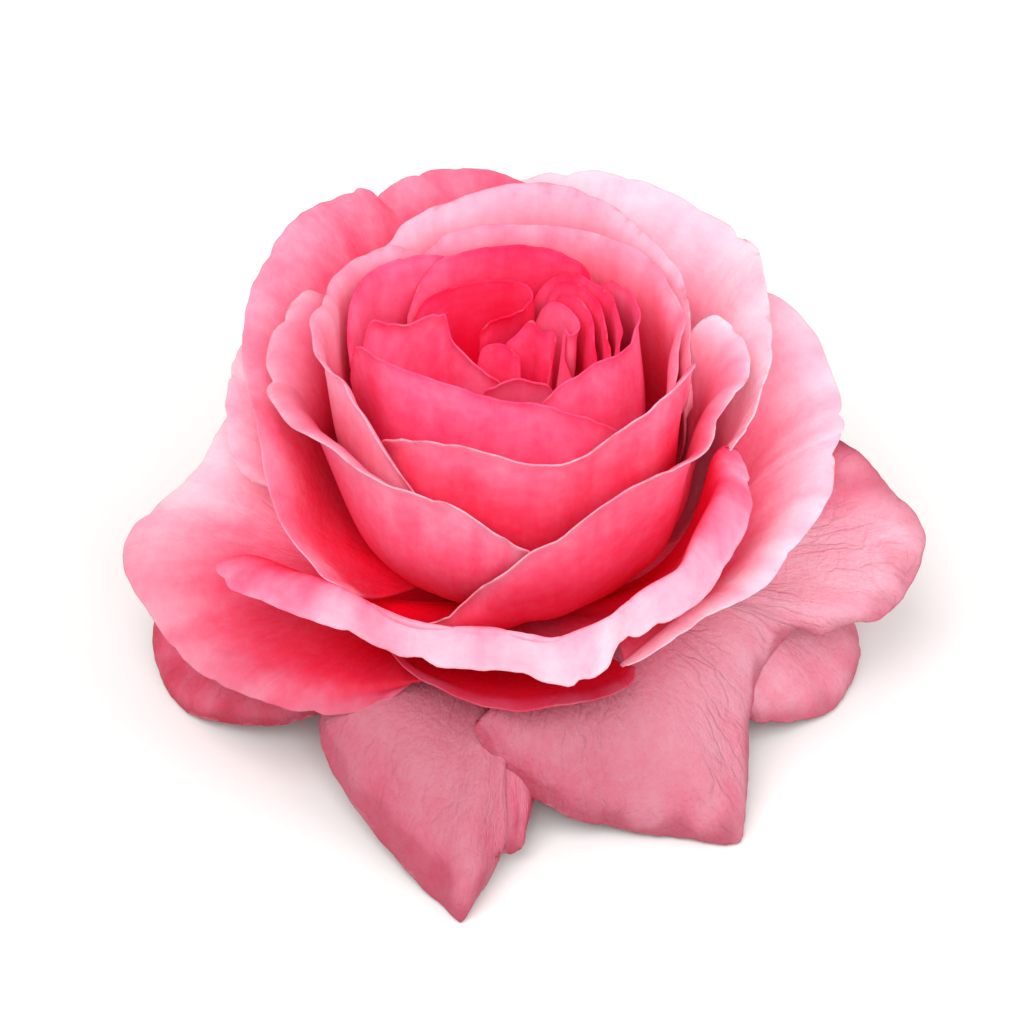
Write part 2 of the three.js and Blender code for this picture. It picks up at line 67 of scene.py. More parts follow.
def slanted(azimuth, lean):
    """Direction that leans out: 0 stands up, 90 lies flat, 180 hangs"""
    tip = np.radians(lean)[..., None]
    return outward(azimuth) * np.sin(tip) + UP * np.cos(tip)


def ramp(values, t):
    """Value of a list at 0 to 1 along it, in straight steps"""
    return np.interp(t, np.linspace(0, 1, len(values)), values) if len(values) > 1 else 0 * t + values[0]


def curve_through(rows, t):
    """Rows of values at 0 to 1 along a table, in a smooth curve through all of them"""
    rows = np.array(rows, float)
    ends = np.concatenate([[2 * rows[0] - rows[1]], rows, [2 * rows[-1] - rows[-2]]])
    x = np.clip(t, 0, 1) * (len(rows) - 1)
    i = np.minimum(x.astype(int), len(rows) - 2)
    f = (x - i)[:, None]
    a, b, c, d = (ends[i + k] for k in range(4))
    return b + 0.5 * f * (c - a + f * (2 * a - 5 * b + 4 * c - d + f * (3 * (b - c) + d - a)))


print("A petal leaning 45 degrees at the right points to", slanted(np.array(90.0), np.array(45.0)).round(2))

# %% [markdown]
# Each petal could be sculpted by hand, but thirty four of them would soon
# cut through each other. Here a petal is a curved sheet with five control
# lines: the narrow foot (claw), the belly that lies on the cup's floor, the
# neck where it rises, the brow, and the rim. Bellies are stacked by rank, so
# a petal further in always lies above its outer neighbour.
#
# In the table, `claw` gives the foot's azimuth and rank, `rank` the belly's
# place in the stack from left to right, and `rim` the azimuth, radius, height
# and lean of the free edge. `neck` is the radius, share of the rise and lift
# of the wall, `share` sets belly and neck as a share of the rim's radius,
# `brow` says how far back the rim's lean reaches, `twist` turns the belly,
# and `wave` swings the rim.

# %% Petal table
PETALS = [
    dict(name="guard_left", claw=(-88, 0), rank=[0], neck=([34], -0.1, [0]), wave=[0.9, 2, 0.3],
         rim=[(-123, 40, 14, 110), (-108, 46, 9, 120), (-93, 48.5, 4, 120), (-80, 45.5, 3, 120),
              (-68, 38, 3.5, 120), (-55, 31, 8, 115)]),
    dict(name="guard_right_low", claw=(82, 0), rank=[0], neck=([33], -0.1, [0]), wave=[0.9, 2, 0.6],
         rim=[(56, 29, 9, 110), (68, 36, 4, 110), (80, 43.5, 3, 110), (92, 46, 5, 110), (101, 41, 10, 110),
              (108, 34, 14, 110)]),
    dict(name="guard_back_right", claw=(136, 0.5), rank=[1, 0], neck=([36], 0, [0]), wave=[0.8, 2, 0],
         rim=[(105, 42, 23, 90), (114, 44.5, 19, 100), (128, 46, 6, 125), (142, 46, 0.8, 135),
              (158, 42, 3, 135), (172, 36, 8, 120)]),
    dict(name="guard_back_left", claw=(-154, 0), rank=[0], neck=([34], 0, [0]), wave=[0.8, 2, 0.5],
         rim=[(-186, 36, 10, 120), (-170, 43, 3, 135), (-152, 46, 0.8, 135), (-136, 44, 6, 125),
              (-124, 36, 14, 110)]),
    dict(name="guard_front_left", claw=(-26, 0), rank=[0], neck=([31, 31, 25], 0.3, [0]), brow=[0.3],
         rim=[(-56.5, 27, 16, 112), (-52, 31.4, 12.8, 117), (-46, 34, 10.4, 122), (-36, 36, 7, 128),
              (-25, 38.8, 4, 130), (-15.5, 42.2, 1.9, 130), (-8.7, 46, 0.5, 130), (-4.4, 42, 1.5, 130),
              (-2.6, 38, 2.5, 130), (-2.2, 35.8, 3.4, 130), (0.4, 35.4, 3.3, 128), (3, 33.6, 3.9, 125),
              (7, 28, 7, 115)]),
    dict(name="guard_front_right", claw=(44, 1.38), rank=[1, 1.2, 1.3, 2],
         neck=([30.5, 32, 32, 33], 0.05, [0]), brow=[0.28],
         rim=[(-8, 29.5, 17, 105), (1, 31.6, 8.6, 120), (10, 32.8, 6, 128), (20, 34, 2.7, 130),
              (31.5, 38.1, 1.2, 130), (41, 43.2, 0.4, 128), (49, 39.8, 3.8, 125), (59, 35.7, 8.7, 120),
              (68, 34.4, 11.8, 114), (76, 36, 13.9, 110), (78, 40, 14.5, 106), (82, 45.6, 15.6, 98),
              (88, 50, 17.4, 88), (95, 52.8, 20.5, 80), (98, 49.6, 24.2, 74), (100.5, 46.6, 28.4, 70),
              (104, 43, 32.4, 66)]),
    dict(name="left_wide", claw=(-72, 1.2), rank=[1.2], neck=([32], 0.35, [0]), wave=[0.9, 3.5, 0.2],
         rim=[(-132, 38, 33, 70), (-116, 39.5, 31, 75), (-103, 41, 28, 85), (-92, 49, 20.5, 100),
              (-77, 45, 17.5, 100), (-62, 40, 16, 105), (-47, 33.5, 14.5, 110), (-33, 25, 16.8, 105),
              (-25, 20, 17.3, 105)]),
    dict(name="back_left_outer", claw=(-136, 2.4), rank=[2], neck=([28], 0.4, [0]), brow=[0.3],
         wave=[0.7, 2.5, 0],
         rim=[(-175, 34, 38, 65), (-158, 39, 37, 75), (-140, 41, 38, 75), (-124, 38.5, 41, 60),
              (-110, 38, 38, 60), (-96, 35, 33, 60)]),
    dict(name="back_right_outer", claw=(150, 2), rank=[2], neck=([28], 0.4, [0]), brow=[0.3],
         wave=[0.7, 2.5, 0.4],
         rim=[(117, 35.5, 36, 65), (130, 41, 35, 85), (150, 43, 33, 90), (168, 41, 34, 85),
              (183, 36, 38, 70)]),
    dict(name="front_under", claw=(2, 2.2), rank=[2.2], neck=([26.5], 0.3, [0]), brow=[0.2],
         rim=[(-44, 24, 23.5, 50), (-30, 26, 22.3, 65), (-12, 27.6, 20.6, 75), (7, 28.4, 20.6, 75),
              (20, 28.2, 20.8, 75), (29, 27.2, 20.4, 74), (36, 25.4, 19.8, 70)]),
    dict(name="right_wide", claw=(88, 3.25), rank=[3.5, 3], neck=([28], 0.45, [0]), brow=[0.3],
         wave=[0.4, 4.5, 0.5],
         rim=[(30, 26.3, 23.8, 50), (43, 28.5, 27, 58), (53, 30.7, 28.9, 62), (62, 33.2, 30.6, 65),
              (72, 36, 32.4, 66), (82, 38, 35.4, 66), (91, 38.6, 37.4, 64), (95, 40, 38.2, 62),
              (103, 40.2, 40.6, 60), (114, 40.2, 44, 60), (126, 37.6, 46.2, 60), (142, 34, 45, 50)]),
    dict(name="front_lip", claw=(0, 3.5), rank=[3, 3.4, 4.1],
         neck=([30.5, 31.8, 31.6, 30, 27.5], 0.5, [2, 7, 9.5, 7, 5]),
         brow=[0.25, 0.4, 0.5, 0.54, 0.48, 0.36, 0.28], wave=[0.3, 7, 0],
         rim=[(-75, 39.5, 28.5, 95), (-68, 38.3, 27.8, 105), (-61, 34.8, 27.3, 120), (-50, 31.6, 27, 138),
              (-38, 30.2, 27, 152), (-24, 29.6, 26.7, 160), (-10, 29.2, 27, 164), (0, 29.6, 26.8, 165),
              (10, 30.8, 25.6, 165), (19, 30.6, 26.4, 162), (27, 29, 27.6, 158), (36, 29.2, 29, 150),
              (46, 30.2, 30.4, 140), (54, 31, 33.6, 130), (62, 31.4, 37.4, 122), (69, 30.8, 40.6, 115),
              (75, 29, 42.6, 110)]),
    dict(name="back_right", claw=(118, 4.07), rank=[5.3, 4, 2.9], wave=[0.7, 3.5, 0.1],
         rim=[(68, 25, 36, 12), (75, 26.6, 42, 22), (84, 28, 47, 30), (104, 30.5, 51, 45), (124, 34, 53, 55),
              (145, 33.5, 55, 55), (165, 32, 57, 45), (184, 32.6, 53, 45), (198, 32, 46, 45)]),
    dict(name="back_left", claw=(-168, 5), rank=[5.1, 3.5], wave=[0.6, 3, 0.7],
         rim=[(-212, 24, 46, 15), (-200, 26.5, 54, 25), (-185, 28.6, 56, 35), (-170, 32.5, 56.8, 40),
              (-158, 34, 56, 50), (-148, 35.4, 52.5, 50), (-138, 35.5, 47, 50), (-128, 33, 40, 50)]),
    dict(name="left_side", claw=(-98, 5), rank=[5], wave=[0.7, 3, 0.4],
         rim=[(-156, 27.6, 48, 30), (-149, 33.4, 55.6, 45), (-140, 36, 55.4, 55), (-130, 37, 53.5, 55),
              (-116, 35, 51, 50), (-98, 32.5, 47.5, 40), (-80, 30.3, 43, 30), (-60, 29, 36, 25),
              (-48, 27, 31, 25)]),
    dict(name="right_front", claw=(40, 5.3), rank=[5.1, 6.2, 5.3], brow=[0.2, 0.2, 0.22, 0.26, 0.22],
         wave=[0.5, 4, 0.3],
         rim=[(-26, 22.9, 29, 12), (-17, 22.8, 32, 8), (-8, 23, 36, 5), (6, 23.5, 42.5, 5), (22, 24, 47, 8),
              (40, 24.8, 49.4, 15), (58, 25, 48.6, 32), (69, 24.7, 49.2, 42), (80, 26.6, 50.4, 52),
              (90, 27.2, 51.8, 48), (98, 26, 53.4, 38), (104, 23.6, 53.4, 28), (112, 22.4, 49, 20)]),
    dict(name="left_front", claw=(-45, 6.4), rank=[6, 6, 7.3], brow=[0.22, 0.25, 0.24, 0.2, 0.2],
         wave=[0.5, 3.5, 0],
         rim=[(-126, 22.5, 48, 15), (-112, 27.5, 54, 50), (-92, 30, 51, 70), (-72, 28.5, 50, 60),
              (-52, 25.3, 50, 35), (-32, 23.2, 48.3, 12), (-12, 22.3, 45.4, 4), (3, 22, 41.4, 0),
              (15, 21.8, 37, 0)]),
    dict(name="back_light", claw=(168, 6.35), rank=[6.6, 6.1], wave=[0.5, 3, 0.2],
         rim=[(94, 20.8, 46, 5), (110, 21.4, 53, 10), (126, 22, 56.5, 15), (148, 23.5, 58.5, 25),
              (172, 24.5, 59.5, 25), (196, 24.5, 58, 25), (216, 23.8, 56, 20), (230, 23.4, 50, 15)]),
    dict(name="left_inner", claw=(-84, 7.5), rank=[7.1, 7, 7.3], wave=[0.3, 3, 0],
         rim=[(-158, 20, 50, 0), (-140, 21.2, 56, 8), (-122, 23, 56, 14), (-106, 23, 56, 12),
              (-90, 23.2, 57, 12), (-76, 22.7, 56.5, 8), (-60, 21.8, 55.4, 2), (-42, 21, 50, 0),
              (-24, 20.2, 42, -2)]),
    dict(name="front_mid", claw=(8, 8.3), rank=[8, 8.1, 7.3], wave=[0.3, 3.5, 0.5],
         rim=[(-62, 19.4, 44, 0), (-48, 19.6, 50, 2), (-32, 19.4, 53, 8), (-12, 19.2, 53, 14),
              (12, 20, 52.2, 16), (30, 20, 53, 8), (46, 20.8, 56, 5), (60, 23, 60, 12), (70, 21, 54, 5)]),
    dict(name="back_mid", claw=(148, 7.6), rank=[7.6, 7.4, 7.8], wave=[0.3, 3, 0],
         rim=[(75, 18.4, 48, 0), (88, 18.8, 54, 5), (104, 19, 56, 8), (126, 19.5, 57.5, 10),
              (152, 17.8, 58, 8), (178, 17.4, 58, 8), (204, 18.9, 57, 8), (222, 20.2, 52, 5)]),
    dict(name="left_mid", claw=(-124, 8.35), rank=[8.6, 8.1],
         rim=[(-168, 16, 51, 0), (-150, 16.6, 55.5, 5), (-132, 18.7, 56.5, 10), (-112, 20.4, 56, 10),
              (-100, 20.2, 51, 5)]),
    dict(name="front_inner", claw=(-34, 9.4), rank=[9.1, 9, 8.5], wave=[0.25, 3.5, 0],
         rim=[(-92, 19.2, 49, 0), (-82, 19, 55.2, 5), (-66, 17.5, 57.3, 5), (-48, 15.8, 57.4, 2),
              (-26, 14.8, 57.4, 4), (-4, 14.2, 56.2, 6), (16, 14.4, 55, 4), (32, 15.8, 53.3, 4),
              (48, 17, 50, 2)]),
    dict(name="right_inner", claw=(76, 9.7), rank=[9.7, 8.3],
         rim=[(2, 11.6, 49, -5), (16, 11.8, 54.2, -2), (30, 12, 56.2, 2), (44, 12.4, 57, 4),
              (56, 13.6, 57.6, 5), (66, 14.3, 58, 4), (78, 14.4, 58.3, 2), (96, 14.4, 57.4, 0),
              (112, 14.5, 57, 0), (128, 14.5, 56.4, 0), (146, 14.2, 52, 0)]),
    dict(name="back_inner", claw=(178, 9.25), rank=[9.3, 9.2],
         rim=[(122, 13.1, 51, 0), (136, 13.1, 56, 0), (154, 13.5, 57.4, 0), (176, 13.8, 57.6, 0),
              (198, 14.3, 57.2, 0), (216, 16.1, 55.6, 0), (230, 17.2, 50.5, 0)]),
    dict(name="right_nest_1", claw=(108, 10.7), rank=[10.1, 10.3],
         rim=[(60, 13, 50, -5), (66, 12.9, 54, 0), (76, 12.4, 56, 5), (92, 12, 56.8, 5), (110, 11.9, 57, 0),
              (128, 11.7, 57, 0), (146, 11.8, 56.4, 0), (160, 12, 54.5, 0), (172, 12, 51, 0)]),
    dict(name="right_nest_2", claw=(128, 11.4), rank=[11.1, 11.3],
         rim=[(62, 11.5, 49.5, -5), (70, 11.4, 53.5, 0), (82, 10.8, 55.4, 5), (100, 10.4, 56.1, 5),
              (120, 10.4, 56.4, 0), (137, 10.6, 56.3, 0), (152, 10.8, 55.2, 0), (163, 10.8, 51, 0)]),
    dict(name="right_nest_3", claw=(120, 12.05), rank=[12.1, 12.2],
         rim=[(70, 9.7, 49, 0), (76, 9.6, 53, 0), (86, 9.1, 55, 5), (100, 9, 55.7, 5), (118, 9, 55.9, 0),
              (134, 9.2, 55.7, 0), (148, 9.4, 54.4, 0), (158, 9.4, 50, 0)]),
    dict(name="heart_back", claw=(-154, 10.5), rank=[10.4, 10.6], share=[0.8, 1], brow=[0.3],
         rim=[(-147, 7.4, 50.5, -10), (-149, 6.4, 52.8, -15), (-160, 5.7, 53.4, -20), (-176, 5.5, 53.9, -25),
              (-188, 6.1, 54.3, -25), (-194, 7.4, 54.6, -20), (-190, 8.8, 55, -15), (-180, 9.9, 55, -20),
              (-166, 10.6, 55, -20), (-150, 11.5, 54.6, -20), (-137, 12.9, 53.8, -15),
              (-130, 14.3, 52.6, -10), (-127, 16, 50, 0)]),
    dict(name="left_fan", claw=(-84, 10.35), rank=[10.3, 10.4], share=[0.76, 1], brow=[0.3], twist=22,
         rim=[(-104, 19, 50, 0), (-104, 17.8, 54, 5), (-103, 15.6, 54, 5), (-104, 13.6, 54, 0),
              (-111, 12, 54.2, 0), (-118, 10.2, 54.4, 0), (-118, 9.2, 54.2, 0), (-111, 8, 52.6, 0),
              (-97, 6.2, 51.6, 5), (-78, 4.7, 51, 10), (-57, 3.4, 50.4, 10), (-34, 2.8, 49.4, 10),
              (-14, 2.8, 47, 5)]),
    dict(name="heart_face", claw=(101, 12.83), rank=[12.8, 13], share=[0.85, 1], brow=[0.3],
         rim=[(76, 7.4, 48.5, 0), (80, 6.4, 50, 5), (90, 5.6, 51.2, 5), (99, 5.6, 52.3, 5), (106, 6, 53.6, 5),
              (110, 6.3, 54.1, 5), (102, 6.8, 53.8, 5), (101, 7.4, 54.6, 5), (108, 7.6, 55.2, 5),
              (124, 7.5, 55.4, 0), (142, 7.7, 55, 0), (156, 7.9, 53.6, 0), (166, 7.8, 50, 0)]),
    dict(name="heart_cave", claw=(159, 13.38), rank=[13.7], share=[0.9, 1], brow=[0.3],
         rim=[(104, 4.2, 49.5, 5), (109, 4.8, 52.2, 5), (116, 4.9, 53.2, 5), (126, 4.2, 52.9, 5),
              (140, 4, 53.2, 0), (154, 4.3, 53.8, 0), (172, 3.7, 52.4, 0), (190, 3.6, 51.2, 0),
              (200, 3.8, 50.4, 0), (206, 4.3, 48.5, 0)]),
    dict(name="heart_front", claw=(-8, 10.4), rank=[10.4], share=[0.85, 1], brow=[0.3],
         rim=[(-40, 6.6, 48, 0), (-30, 6.7, 51.2, 5), (-14, 6.5, 52.8, 10), (4, 6.5, 53.3, 15),
              (22, 7.1, 53, 15), (33, 7.7, 51.8, 10), (40, 7.9, 48.5, 5)]),
    dict(name="heart_lobe", claw=(-115, 12.31), rank=[14.5], share=[0.7, 1], brow=[0.3],
         rim=[(-205, 1.8, 47.5, 0), (-196, 1.8, 49.6, 5), (-172, 2.2, 50.6, 5), (-152, 3.1, 50.9, 5),
              (-140, 4.4, 50.6, 5), (-133, 5.6, 49.8, 5), (-130, 6.2, 47.5, 0)]),
]
print(len(PETALS), "petals")

# %% Shape of a bare petal
STACK_FOOT, STACK_PITCH = 17.4, 0.95  # height of the first belly, step to the next
BELLY_RADIUS = [20.5, 22, 24.2, 25.6, 24.8, 23.8, 22.6, 21, 18.9, 16.4, 13.4, 10.6, 8]
BELLY_SPREAD = 0.88  # share of its fan that a petal has reached at the belly
NECK_STEP, NECK_RISE = 0.9, 13
SEAT_TOP, SEAT_FALL, SEAT_GAP = 24.6, 0.95, 0.52  # the cone under the petals' feet
CLAW_OUTER, CLAW_STEP, CLAW_HALF_WIDTH, CLAW_SHARE = 9.0, 0.64, 2.0, 0.6  # the share limits the width
HEART_NECK, NECK_LIMIT = 0.5, 0.8  # shares of the rise
BROW = [0.25]  # where the table gives none
CORNER_CUT, CORNER_POWER = 0.12, 5  # share of the length missing at the side edges, how suddenly
CENTRE_SHIFT = np.array([-1.68, 1.28, 0])  # the axis stands beside the box's centre


def control_lines(petal, u):
    """Claw, belly, neck, brow and rim lines of a petal, from its left to its right edge"""
    across = (u + 1) / 2
    rim = petal["rim"]
    azimuth, radius, height, lean = curve_through(rim, across).T
    first, last = rim[0][0], rim[-1][0]
    rank = ramp(petal["rank"], (azimuth - first) / (last - first))

    claw_azimuth, claw_rank = petal["claw"]
    claw_radius = CLAW_OUTER - CLAW_STEP * claw_rank
    claw_half = min(CLAW_HALF_WIDTH, CLAW_SHARE * claw_radius)
    claw = outward(np.array(float(claw_azimuth))) * claw_radius
    claw = claw + outward(np.array(claw_azimuth + 90.0)) * (u * claw_half)[:, None]
    claw *= (claw_radius + SEAT_GAP) / np.linalg.norm(claw, axis=1)[:, None]
    claw[:, 2] = SEAT_TOP - SEAT_FALL * claw_radius + SEAT_GAP

    edge = outward(azimuth) * radius[:, None] + UP * height[:, None]
    swing, half_waves, phase = petal.get("wave", (0, 0, 0))
    edge += slanted(azimuth, lean + 90) * (swing * np.sin(np.pi * (half_waves * u + phase)))[:, None]

    middle, twist = (first + last) / 2, petal.get("twist", 0)
    share = petal.get("share")
    belly_radius = share[0] * radius if share else ramp(BELLY_RADIUS, rank / (len(BELLY_RADIUS) - 1))
    belly_height = STACK_FOOT + STACK_PITCH * rank
    belly = outward(middle + BELLY_SPREAD * (azimuth - middle) + twist) * belly_radius[:, None]
    belly += UP * belly_height[:, None]

    rise = height - belly_height
    neck_radius = share[1] * radius if share else belly_radius + NECK_STEP
    neck_rise = HEART_NECK * rise if share else np.minimum(NECK_RISE, NECK_LIMIT * rise)
    if "neck" in petal:
        radii, part, lift = petal["neck"]
        neck_radius = ramp(radii, across)
        neck_rise = part * rise + ramp(lift, across)
    neck = outward(azimuth + twist / 2) * neck_radius[:, None] + UP * (belly_height + neck_rise)[:, None]

    reach = ramp(petal.get("brow", BROW), across) * np.linalg.norm(edge - claw, axis=1)
    brow = edge - slanted(azimuth, lean) * reach[:, None]
    return claw, belly, neck, brow, edge


def bare_petal(petal, u, v, nick=0):
    """Grid of points, rows from claw to rim; nick shortens the columns by some millimetres"""
    lines = control_lines(petal, u)
    pace = 4 * np.linalg.norm(lines[4] - lines[3], axis=1)
    corner = 1 - CORNER_CUT * (1 - (1 - np.abs(u) ** CORNER_POWER) ** (1 / CORNER_POWER))
    t = v[:, None] * corner * (1 - nick / pace)
    s = 1 - t
    weights = (s ** 4, 4 * s ** 3 * t, 6 * s ** 2 * t ** 2, 4 * s * t ** 3, t ** 4)
    return sum(w[..., None] * line for w, line in zip(weights, lines))


widest = max(PETALS, key=lambda petal: petal["rim"][-1][0] - petal["rim"][0][0])
print("Widest fan:", widest["name"], widest["rim"][-1][0] - widest["rim"][0][0], "degrees")

# %% [markdown]
# A real petal is never a clean surface. Its margin curls back, ripples and is
# nicked, and the blade swells between the veins. A displacement modifier
# could push the surface about, but it knows nothing of the petal's own edge.
# So every point gets its distance from the rim and its place along it in
# millimetres, and the finish is worked out from those.

# %% Finish of the petals' margins
# curl: degrees that the margin turns back, over `margin` mm.
# ruffle and crimp: swing of the blade, length of its waves and how far in they reach.
# scallop: depth of the notches and length of the lobes between them.
# swell: height of the blade's low hills and their size.
# bites: place from -1 to 1, half width and depth of single notches.
# grow: mm that the blade is longer, from its left to its right edge.
FINISH = {
    "guard": dict(
        curl=[60], margin=6, ruffle=(0.4, 17, 10), crimp=(0.08, 5, 8), scallop=(0.35, 9), swell=(0.45, 12)),
    "outer": dict(
        curl=[30], margin=4.5, ruffle=(0.7, 14, 14), crimp=(0.16, 5, 10), scallop=(0.7, 9), swell=(0.35, 13)),
    "cup": dict(
        curl=[35], margin=3, ruffle=(0.4, 12, 9), crimp=(0.16, 4.5, 11), scallop=(0.45, 8), swell=(0.22, 12)),
    "heart": dict(
        curl=[15], margin=2, ruffle=(0.25, 8, 7), crimp=(0.1, 3.5, 7), scallop=(0.3, 6), swell=(0.15, 8)),
}
# What sets single petals apart from the rest of their ring
OWN_FINISH = {
    "guard_back_left": dict(curl=[30]),
    "guard_back_right": dict(curl=[30]),
    "guard_front_left": dict(curl=[40, 40, 25], scallop=(0.2, 9)),
    "guard_front_right": dict(swell=(0.25, 14)),
    "front_lip": dict(curl=[20], scallop=(1.3, 9), bites=[(0.27, 1.0, 1.2), (0.37, 0.8, 0.9)]),
    "front_under": dict(curl=[5], scallop=(0.3, 8)),
    "left_front": dict(scallop=(0.6, 8), bites=[(-0.45, 1.3, 2.2), (-0.62, 1.0, 1.2)]),
    "right_front": dict(scallop=(0.8, 7)),
    "right_wide": dict(scallop=(1.0, 7)),
    "back_right": dict(curl=[12], grow=[1.2, 1.2, 1.4, 0, 0], scallop=(0.9, 7)),
}
CUP = ["right_front", "left_front", "back_light", "left_inner", "front_mid", "back_mid"]
LAST_CUP = [petal["name"] for petal in PETALS].index(CUP[-1])  # the heart's petals follow it in the table


def layer_of(index, name):
    """Which ring of the bloom a petal belongs to"""
    if name.startswith("guard"):
        return "guard"
    if name in CUP:
        return "cup"
    return "heart" if index > LAST_CUP else "outer"


print("Finish of a cup petal:", FINISH["cup"])

# %% Waves and notches
STEEPNESS = 1.6  # how firmly a sum of waves is driven towards -1 and 1


def ripple(dice, x, length, waves=4):
    """A few sine waves of about one length, added up to between -1 and 1"""
    lengths = length * dice.uniform(0.65, 1.6, waves)
    phases = dice.uniform(0, 2 * np.pi, waves)
    return np.tanh(STEEPNESS * np.sin(2 * np.pi * x[..., None] / lengths + phases).mean(-1))


def scallops(dice, x, length):
    """0 on rounded lobes of uneven length, up to 1 in the sharp notches between them"""
    phase = np.pi * x / length + 1.2 * ripple(dice, x, 3 * length) + dice.uniform(0, np.pi)
    depth = 0.5 + 0.5 * ripple(dice, x, 2.5 * length)
    return (1 - np.abs(np.sin(phase))) ** 2 * depth


def swells(dice, x, y, length, waves=6):
    """Low rolling hills in all directions, between -1 and 1"""
    turns = dice.uniform(0, np.pi, waves)
    lengths = length * dice.uniform(0.7, 1.6, waves)
    phases = dice.uniform(0, 2 * np.pi, waves)
    along = x[..., None] * np.cos(turns) + y[..., None] * np.sin(turns)
    return np.tanh(STEEPNESS * np.sin(2 * np.pi * along / lengths + phases).mean(-1))


sample = scallops(np.random.default_rng(1), np.linspace(0, 60, 200), 8)
print("Notches along 60 mm of rim, deepest", sample.max().round(2), "of the full depth")


# %% Lengths and directions on a sheet
def unit(vectors):
    """The same directions, each with length 1"""
    return vectors / np.maximum(np.linalg.norm(vectors, axis=-1), 1e-9)[..., None]


def steps(points, axis):
    """Length of each column or row up to each point"""
    size = np.linalg.norm(np.diff(points, axis=axis), axis=-1)
    start = np.zeros_like(np.take(size, [0], axis))
    return np.concatenate([start, np.cumsum(size, axis)], axis)


def facing(points):
    """Directions that look out of the bloom, square to the sheet"""
    return unit(np.cross(np.gradient(points, axis=1), np.gradient(points, axis=0)))


print("Two steps of 3 and 4 mm:", steps(np.array([[[0.0, 0, 0]], [[3, 0, 0]], [[3, 4, 0]]]), 0).ravel())

# %% Fine lattice of a petal
COLUMN, ROWS = 0.6, 44  # width of the lattice's columns at the rim in mm, number of its rows
FEWEST, MOST = 40, 190  # columns
EDGE_CROWDING = 1.35  # how much closer columns and rows stand towards the petal's edges
NIBBLE, NIBBLE_LENGTH = 0.1, 3.2  # mm, small unevenness of every rim
HILL_START = 12  # mm from the foot over which the hills grow
RUFFLE_START, CURL_START = 1.5, 1.2  # powers that let both begin gently on the way to the rim
SIDE_WEIGHT, FOOT_MARGIN = 1.3, 2  # the margin is narrower along the sides and fades out at the foot
GROUND_EASE, GROUND_GAP = 1.0, 0.25  # mm, height where a blade starts to flatten on the ground, least height


def finished_petal(petal, layer, dice):
    """Middle surface with its curls and ripples, and the measures that the material needs"""
    finish = {**FINISH[layer], **OWN_FINISH.get(petal["name"], {})}
    rim_length = steps(control_lines(petal, np.linspace(-1, 1, 200))[4][None], 1)[0, -1]
    columns = int(np.clip(rim_length / COLUMN, FEWEST, MOST)) | 1
    u = np.sin(np.linspace(-1, 1, columns) * EDGE_CROWDING) / math.sin(EDGE_CROWDING)
    v = 1 - (1 - np.linspace(0, 1, ROWS)) ** EDGE_CROWDING
    place = u * rim_length / 2

    depth, length = finish["scallop"]
    nick = depth * scallops(dice, place, length) + NIBBLE * ripple(dice, place, NIBBLE_LENGTH)
    nick = nick - ramp(finish.get("grow", [0]), (u + 1) / 2)
    for at, width, bite in finish.get("bites", []):
        nick = nick + bite * np.exp(-np.abs(u - at) * rim_length / 2 / width)
    points = bare_petal(petal, u, v, nick)
    far = steps(points, 0)
    from_rim = far[-1] - far
    across, out = np.broadcast_to(place, from_rim.shape), facing(points)

    height, length = finish["swell"]
    push = height * swells(dice, across, far, length) * np.clip(far / HILL_START, 0, 1)
    # Some stretches of the rim are ruffled more than others
    for swing, length, reach in (finish["ruffle"], finish["crimp"]):
        strength = swing * (0.6 + 0.4 * ripple(dice, place, 3 * length))
        nearness = np.clip(1 - from_rim / reach, 0, 1) ** RUFFLE_START
        push = push + strength * ripple(dice, place, length) * nearness
    points = points + out * push[..., None]

    # The curl: every step towards the rim is turned a little further back than the one before
    stride = np.diff(points, axis=0)
    size = np.linalg.norm(stride, axis=-1)[..., None]
    ahead = unit(stride)
    out = facing(points)
    back = unit((out[1:] + out[:-1]) / 2)
    nearness = np.clip(1 - from_rim[1:] / finish["margin"], 0, 1)
    angle = (np.radians(ramp(finish["curl"], (u + 1) / 2)) * nearness ** CURL_START)[..., None]
    turned = size * (ahead * np.cos(angle) + back * np.sin(angle))
    points = np.concatenate([points[:1], points[:1] + np.cumsum(turned, axis=0)], axis=0)

    # A margin that reaches the ground flattens on it
    height, ease = points[..., 2], GROUND_EASE - GROUND_GAP
    flattened = GROUND_GAP + ease * np.exp(np.minimum(height - GROUND_EASE, 0) / ease)
    points[..., 2] = np.where(height < GROUND_EASE, flattened, height)

    side = steps(points, 1)
    from_side = np.minimum(side, side[:, -1:] - side)
    measures = dict(
        across=across,
        along=np.broadcast_to(v[:, None], from_rim.shape),
        far=far,
        from_edge=np.minimum(from_rim, from_side * SIDE_WEIGHT + FOOT_MARGIN * (1 - v[:, None])),
    )
    return points, measures


print("Up to", MOST | 1, "columns and", ROWS, "rows a petal")

# %% [markdown]
# The sheet now gets its thickness. A rose petal is about a third of a
# millimetre thick and thinner at its margin. The two faces and the narrow
# border between them make one closed mesh, which is drawn slightly thicker
# than the real blade. Solidify would do this too, but here the faces carry
# measures for the material, such as the place along the petal and its
# pigment.

# %% Skin of a petal
BLADE, MARGIN = 0.42, 0.2  # thickness in the middle and at the very edge, mm
MARGIN_REACH = 4  # mm over which a blade grows to its full thickness


